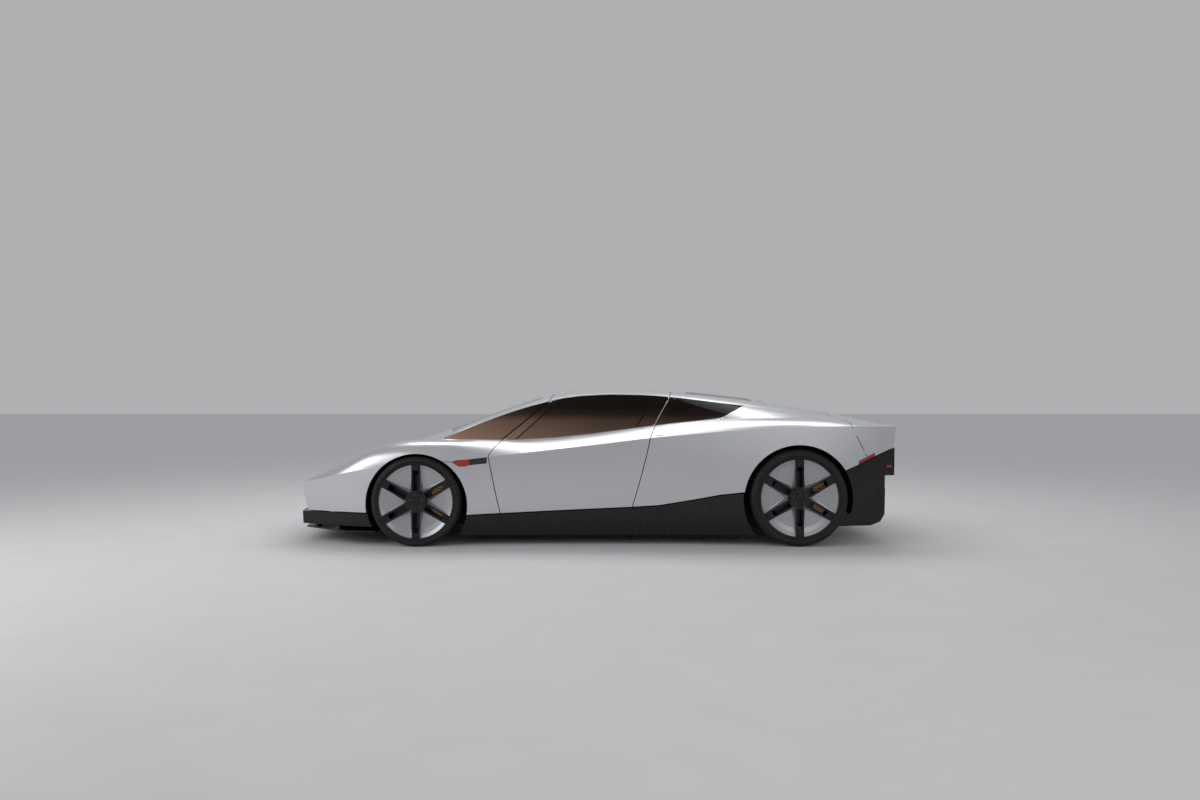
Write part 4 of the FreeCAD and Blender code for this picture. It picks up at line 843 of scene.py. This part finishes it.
def spoke_facets(end, side):
    """A slanted facet at each spoke's outer end and a light chamfer along both of its sides."""
    verts, faces = [], []

    def bar(angle, corners, low, high):
        """A bar across a spoke over (radius, depth) corners, from one shift to another."""
        start = len(verts)
        for shift in (low, high):
            for r, depth in corners:
                verts.append(ring_place(end, side, depth, r, angle, shift))
        k = len(corners)
        faces.append(tuple(start + j for j in range(k)))
        faces.append(tuple(start + k + j for j in range(k)))
        for j in range(k):
            faces.append((start + j, start + (j + 1) % k, start + k + (j + 1) % k, start + k + j))

    outer = RIM_R[end] - 0.020
    facet = ((outer - 0.030, 0.0008), (outer, -0.0032), (outer + 0.004, 0.002), (outer - 0.030, 0.002))
    chamfer = ((0.080, -0.0010), (0.240, -0.0010), (0.240, 0.002), (0.080, 0.002))
    for spoke in range(SPOKES):
        angle = (spoke + 0.5) * 2 * math.pi / SPOKES
        bar(angle, facet, -0.0205, 0.0205)
        bar(angle, chamfer, 0.0215, 0.0300)
        bar(angle, chamfer, -0.0300, -0.0215)
    mesh_piece(f"spoke_facets_{end}_{side}", verts, faces, RIM, f"wheel_{end}_{side}", 20)


def hub_parts(end, side):
    """A plain centre cap and the hexagonal lug bolts."""
    lathe(f"hub_cap_{end}_{side}", HUB_CAP, end, side, RIM)
    verts, faces = [], []
    for bolt in range(BOLTS):
        turn = 2 * math.pi * bolt / BOLTS + math.pi / 2
        start = len(verts)
        for depth, radius in BOLT_RINGS:
            for i in range(6):
                a = math.pi / 3 * i
                x, y, z = ring_place(end, side, depth, BOLT_CIRCLE, turn)
                verts.append((x + radius * math.cos(a), y, z + radius * math.sin(a)))
        for level in range(2):
            for i in range(6):
                a, b = start + level * 6 + i, start + level * 6 + (i + 1) % 6
                faces.append((a, b, b + 6, a + 6))
        faces += [tuple(start + i for i in range(6)), tuple(start + 12 + i for i in range(6))]
    mesh_piece(f"lug_bolts_{end}_{side}", verts, faces, STEEL, f"wheel_{end}_{side}", 20)


for end in ENDS:
    for side in SIDES:
        tyre_piece(end, side)
        insert_walls(end, side)
        spoke_facets(end, side)
        hub_parts(end, side)


# Cabin: seats with pads, shells and belts, displays, selector, pedals, vents and inner mirror
def box_verts(x0, x1, y0, y1, z0, z1):
    return [(x, y, z) for x in (x0, x1) for y in (y0, y1) for z in (z0, z1)]


def bar_points(outline, y0, y1):
    """The corners of a bar with an (x, z) outline, from y0 to y1."""
    return [(x, y, z) for x, z in outline for y in (y0, y1)]


def hull_piece(name, points, mat, round_by, cuts=3):
    """A convex closed form around points, with rounded edges."""
    mesh = bpy.data.meshes.new(name)
    bm = bmesh.new()
    for p in points:
        bm.verts.new(p)
    made = bmesh.ops.convex_hull(bm, input=bm.verts)
    loose = [v for v in made["geom_interior"] if isinstance(v, bmesh.types.BMVert)]
    bmesh.ops.delete(bm, geom=loose, context="VERTS")
    bmesh.ops.dissolve_limit(bm, angle_limit=0.01, verts=bm.verts, edges=bm.edges)
    bmesh.ops.bevel(bm, geom=bm.edges[:], offset=round_by, segments=cuts, affect="EDGES", profile=0.5)
    bmesh.ops.recalc_face_normals(bm, faces=bm.faces)
    bm.to_mesh(mesh)
    bm.free()
    return dressed(linked(name, mesh), mat, "root", 40)


def middle_of(obj):
    lows = [min(v.co[i] for v in obj.data.vertices) for i in range(3)]
    highs = [max(v.co[i] for v in obj.data.vertices) for i in range(3)]
    return Vector([(a + b) / 2 for a, b in zip(lows, highs)])


PAD_VOXEL = 0.010
CLOTH_FRAMES = 16
STRIPE_WIDTH, STRIPE_DEPTH = 0.010, 0.005


def puffed(name, points, cap, stripes, simulate):
    """A stuffed leather pad: a slightly small form is remeshed, blown up by at most cap and smoothed once.

    The two large pads are blown up by cloth pressure, the small ones by pushing their middles outward.
    Each of the stripes, an axis and a place on it, is pressed in across the pad.
    """
    obj = hull_piece(name, points, TAN, 0.012, 2)
    remesh = obj.modifiers.new("remesh", "REMESH")
    remesh.mode = "VOXEL"
    remesh.voxel_size = PAD_VOXEL
    applied(obj)
    if simulate:
        start = [v.co.copy() for v in obj.data.vertices]
        cloth = obj.modifiers.new("cloth", "CLOTH")
        cloth.settings.use_pressure = True
        cloth.settings.uniform_pressure_force = 4.0
        cloth.settings.effector_weights.gravity = 0.0
        cloth.settings.quality = 3
        cloth.point_cache.frame_start = 1
        cloth.point_cache.frame_end = CLOTH_FRAMES
        for step in range(1, CLOTH_FRAMES + 1):
            bpy.context.scene.frame_set(step)
        applied(obj)
        bpy.context.scene.frame_set(1)
        for vert, at in zip(obj.data.vertices, start):
            move = vert.co - at
            if move.length > cap:
                vert.co = at + move * (cap / move.length)
    else:
        centre = middle_of(obj)
        half = [max(abs(v.co[i] - centre[i]) for v in obj.data.vertices) for i in range(3)]
        for vert in obj.data.vertices:
            near, next_near, _ = sorted(abs(vert.co[i] - centre[i]) / half[i] for i in range(3))
            vert.co += vert.normal * (0.6 * cap * (1 - near ** 2) * (1 - next_near ** 2))
    smooth = obj.modifiers.new("round", "SUBSURF")
    smooth.levels = 1
    applied(obj)
    centre = middle_of(obj)
    for axis, place in stripes:
        for vert in obj.data.vertices:
            off = abs(vert.co[axis] - place)
            if off < STRIPE_WIDTH:
                pull = centre - vert.co
                pull[axis] = 0.0
                if pull.length > 0:
                    vert.co += pull.normalized() * STRIPE_DEPTH * (1 - off / STRIPE_WIDTH) ** 2
    obj.data.shade_smooth()
    return obj


def twin(obj, name):
    """The same pad on the other side of the car."""
    mesh = obj.data.copy()
    bm = bmesh.new()
    bm.from_mesh(mesh)
    for vert in bm.verts:
        vert.co.y = -vert.co.y
    bmesh.ops.reverse_faces(bm, faces=bm.faces)
    bm.to_mesh(mesh)
    bm.free()
    made = linked(name, mesh)
    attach(made, "root")
    return made


# The seats' shells and pads: (x, z) outlines and y ranges, and a pad's most puff
BUCKET = ((-0.120, 0.106), (0.415, 0.106), (0.592, 0.360), (0.712, 0.892), (0.640, 0.922), (0.572, 0.880),
          (0.392, 0.372), (0.300, 0.290), (-0.100, 0.330), (-0.155, 0.300))
SHELL_BASE = ((-0.120, 0.108), (0.400, 0.108), (0.480, 0.200), (0.300, 0.190), (-0.110, 0.230))
SHELL_BACK = ((0.420, 0.150), (0.592, 0.362), (0.700, 0.892), (0.662, 0.905), (0.540, 0.600), (0.455, 0.345),
              (0.340, 0.190))
SHELL_PARTS = (("side_inner", BUCKET, 0.141, 0.152), ("side_outer", BUCKET, 0.588, 0.599),
               ("base", SHELL_BASE, 0.153, 0.587), ("back", SHELL_BACK, 0.153, 0.587))
CUSHION = ((-0.145, 0.300), (-0.150, 0.345), (-0.105, 0.372), (0.290, 0.292), (0.330, 0.250), (0.300, 0.210),
           (-0.100, 0.250))
BACK_LOW = ((0.385, 0.350), (0.372, 0.375), (0.470, 0.628), (0.530, 0.610), (0.450, 0.350))
BACK_HIGH = ((0.480, 0.650), (0.538, 0.800), (0.600, 0.790), (0.545, 0.640))
HEAD_PAD = ((0.548, 0.818), (0.572, 0.878), (0.628, 0.905), (0.640, 0.850), (0.600, 0.812))
BOLSTER_LOW = ((-0.130, 0.300), (-0.120, 0.372), (0.290, 0.318), (0.330, 0.290), (0.300, 0.200),
               (-0.100, 0.220))
BOLSTER_HIGH = ((0.352, 0.395), (0.330, 0.440), (0.470, 0.770), (0.545, 0.780), (0.430, 0.400))
SEAT_PADS = (
    ("seat_cushion", CUSHION, 0.225, 0.515, 0.012),
    ("seat_bolster_low_a", BOLSTER_LOW, 0.158, 0.212, 0.008),
    ("seat_bolster_low_b", BOLSTER_LOW, 0.528, 0.582, 0.008),
    ("seat_back_low", BACK_LOW, 0.225, 0.515, 0.010),
    ("seat_back_high", BACK_HIGH, 0.235, 0.505, 0.010),
    ("seat_bolster_high_a", BOLSTER_HIGH, 0.158, 0.212, 0.008),
    ("seat_bolster_high_b", BOLSTER_HIGH, 0.528, 0.582, 0.008),
    ("seat_head_pad", HEAD_PAD, 0.270, 0.470, 0.008),
)
STRIPES = {
    "seat_cushion": [(0, 0.075 * k - 0.07) for k in range(5)],
    "seat_back_low": [(2, 0.440 + 0.060 * k) for k in range(3)],
    "seat_back_high": [(2, 0.725)],
}
SIMULATED = ("seat_cushion", "seat_back_low")

seat_shells, seat_pads = [], []
for side in SIDES:
    flip = -1 if side == "left" else 1
    for name, outline, y0, y1 in SHELL_PARTS:
        verts = [(x, flip * y, z) for y in (y0, y1) for x, z in outline]
        faces = prism_faces(len(outline))
        shell = mesh_piece(f"seat_{name}_{side}", verts, faces, DARK_HIDE, "root", 20)
        seat_shells.append(shell)
for name, outline, y0, y1, cap in SEAT_PADS:
    corners = [(x, y, z) for y in (-y1, -y0) for x, z in outline]
    left = puffed(f"{name}_left", corners, cap, STRIPES.get(name, ()), name in SIMULATED)
    seat_pads += [left, twin(left, f"{name}_right")]
for piece in seat_pads + seat_shells:
    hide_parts("seats")


def flat_belt(name, points, width, thick):
    """A flat black strap along points, with its width across the car."""
    pts = [Vector(p) for p in points]
    wide = Vector((0, width / 2, 0))
    verts, faces = [], []
    for i, p in enumerate(pts):
        run = (pts[min(i + 1, len(pts) - 1)] - pts[max(i - 1, 0)]).normalized()
        up = run.cross(wide).normalized() * thick
        for a, b in ((-1, 0), (1, 0), (1, 1), (-1, 1)):
            verts.append(tuple(p + wide * a + up * b))
    for i in range(len(pts) - 1):
        for k in range(4):
            m = (k + 1) % 4
            faces.append((i * 4 + k, i * 4 + m, i * 4 + 4 + m, i * 4 + 4 + k))
    faces += [(0, 1, 2, 3), tuple(4 * (len(pts) - 1) + k for k in range(4))]
    mesh_piece(name, verts, faces, SEAL, "root", 40)


for side in SIDES:
    flip = -1 if side == "left" else 1
    belt = [(0.690, flip * 0.430, 0.905), (0.640, flip * 0.425, 0.932), (0.575, flip * 0.405, 0.905),
            (0.520, flip * 0.385, 0.790), (0.450, flip * 0.360, 0.640), (0.380, flip * 0.300, 0.480),
            (0.330, flip * 0.220, 0.400), (0.300, flip * 0.145, 0.345)]
    flat_belt(f"shoulder_belt_{side}", belt, 0.046, 0.0016)
    y = flip * 0.128
    hull_piece(f"belt_buckle_{side}", box_verts(0.270, 0.325, y - 0.012, y + 0.012, 0.402, 0.452), SEAL,
               0.004)

# Displays, selector, pedals, vents and mirror
CENTRE_DISPLAY = ((-0.690, 0.778), (-0.640, 0.930), (-0.700, 0.782), (-0.650, 0.934))   # (x, z) outlines
PEDAL = ((-0.868, 0.215), (-0.838, 0.330), (-0.876, 0.217), (-0.846, 0.332))
VENT = ((-0.5215, 0.703), (-0.5385, 0.727), (-0.5185, 0.7035), (-0.5355, 0.729))
hull_piece("cluster_display", [(-0.742, y, z) for y in (-0.52, -0.22) for z in (0.782, 0.868)] +
           [(-0.728, y, z) for y in (-0.52, -0.22) for z in (0.780, 0.866)], DISPLAY, 0.003)
hull_piece("centre_display", bar_points(CENTRE_DISPLAY, -0.135, 0.135), DISPLAY, 0.003)
hull_piece("selector_plinth", box_verts(-0.300, 0.100, -0.070, 0.070, 0.4003, 0.412), TRIM,
           0.004)
hull_piece("selector_knob", box_verts(-0.180, -0.130, -0.020, 0.020, 0.4125, 0.445), INSERT,
           0.008)
for i, y in enumerate((-0.45, -0.36, -0.27)):
    hull_piece(f"pedal_{i}", bar_points(PEDAL, y - 0.028, y + 0.028), BRIGHT_METAL_AND_HIGHLIGHT, 0.002)
    hull_piece(f"pedal_arm_{i}", box_verts(-0.934, -0.850, y - 0.008, y + 0.008, 0.300, 0.316), STEEL,
               0.002)
for k in range(5):
    y = -0.50 + 0.25 * k
    hull_piece(f"dash_vent_{k}", bar_points(VENT, y - 0.075, y + 0.075), SEAL, 0.0008, 1)
hull_piece("mirror_glass", box_verts(-0.395, -0.383, -0.11, 0.11, 1.068, 1.112), DISPLAY, 0.004)
hull_piece("mirror_stem", box_verts(-0.405, -0.393, -0.010, 0.010, 1.085, 1.128), SEAL, 0.003)

# Head lamps: four light units and a blade of light in each slot
HEAD_TREE = tree_of("headlamps")
low, high = 0.4005, 0.4195
for k in range(4):
    y0 = -0.665 + 0.062 * k
    y1 = y0 + 0.044
    rows = area_rows(HEAD_TREE, [(y0, low), (y0, high)], [(y1, low), (y1, high)], 4, 4, on_nose)
    skin(f"head_unit_{k}", rows, LED, "root", 0.0012)
rows = area_rows(HEAD_TREE, [(-0.694, 0.3985), (-0.436, 0.3985)], [(-0.694, 0.4000), (-0.436, 0.4000)], 16, 1,
                 on_nose)
skin("head_blade", rows, LED, "root", 0.0010)

# Tail: seven slats over the panel under the light bar
TAIL_TREE = tree_of("tail_panel", "rear_diffuser", "tail_lamps")
for k in range(7):
    low = 0.570 + 0.022 * k
    high = low + 0.008
    rows = area_rows(TAIL_TREE, [(-0.62, low), (0.62, low)], [(-0.62, high), (0.62, high)], 30, 1, on_tail)
    skin(f"tail_slat_{k}", rows, SEAL, "root", 0.006, 0.002, ("left",))


# Stage, light and camera
half = 60.0
corners = [(-half, -half, 0), (half, -half, 0), (half, half, 0), (-half, half, 0)]
floor_mesh = bpy.data.meshes.new("floor")
floor_mesh.from_pydata(corners, [], [(0, 1, 2, 3)])
floor = linked("floor", floor_mesh)
floor_look = material("pale_floor", (0.74, 0.74, 0.75), 0.60)
vary_color(floor_look, noise(floor_look, 3.0, 4.0), (0.73, 0.73, 0.74), (0.75, 0.75, 0.76))
floor_mesh.materials.append(floor_look)


def area_light(name, place, aim, size, power):
    data = bpy.data.lights.new(name, "AREA")
    data.shape = "RECTANGLE"
    data.size, data.size_y = size
    data.energy = power
    lamp = linked(name, data)
    lamp.location = place
    lamp.rotation_euler = (Vector(aim) - Vector(place)).to_track_quat("-Z", "Y").to_euler()


world = bpy.data.worlds.new("studio")
bpy.context.scene.world = world
world.use_nodes = True
backdrop = world.node_tree.nodes["Background"]
backdrop.inputs["Color"].default_value = (0.86, 0.87, 0.89, 1)
backdrop.inputs["Strength"].default_value = 0.50
area_light("overhead", (0.3, 1.25, 4.6), (0.3, 0.5, 0.6), (6.4, 2.2), 100)
area_light("nose_light", (-5.6, -3.6, 2.8), (-1.6, -0.4, 0.5), (4.4, 3.2), 90)
area_light("side_fill", (2.8, -6.5, 2.6), (0.8, 0, 0.5), (4.0, 2.0), 25)

# The camera as fitted to the photograph: level, on the car's left, with the whole length in view
camera_data = bpy.data.cameras.new("camera")
camera_data.sensor_width = 36.0
camera_data.lens = 25.6
camera = linked("camera", camera_data)
camera.location = (0.045, -7.385, 1.105)
camera.rotation_euler = (math.radians(90), 0, 0)
bpy.context.scene.camera = camera
bpy.context.scene.view_settings.view_transform = "Standard"
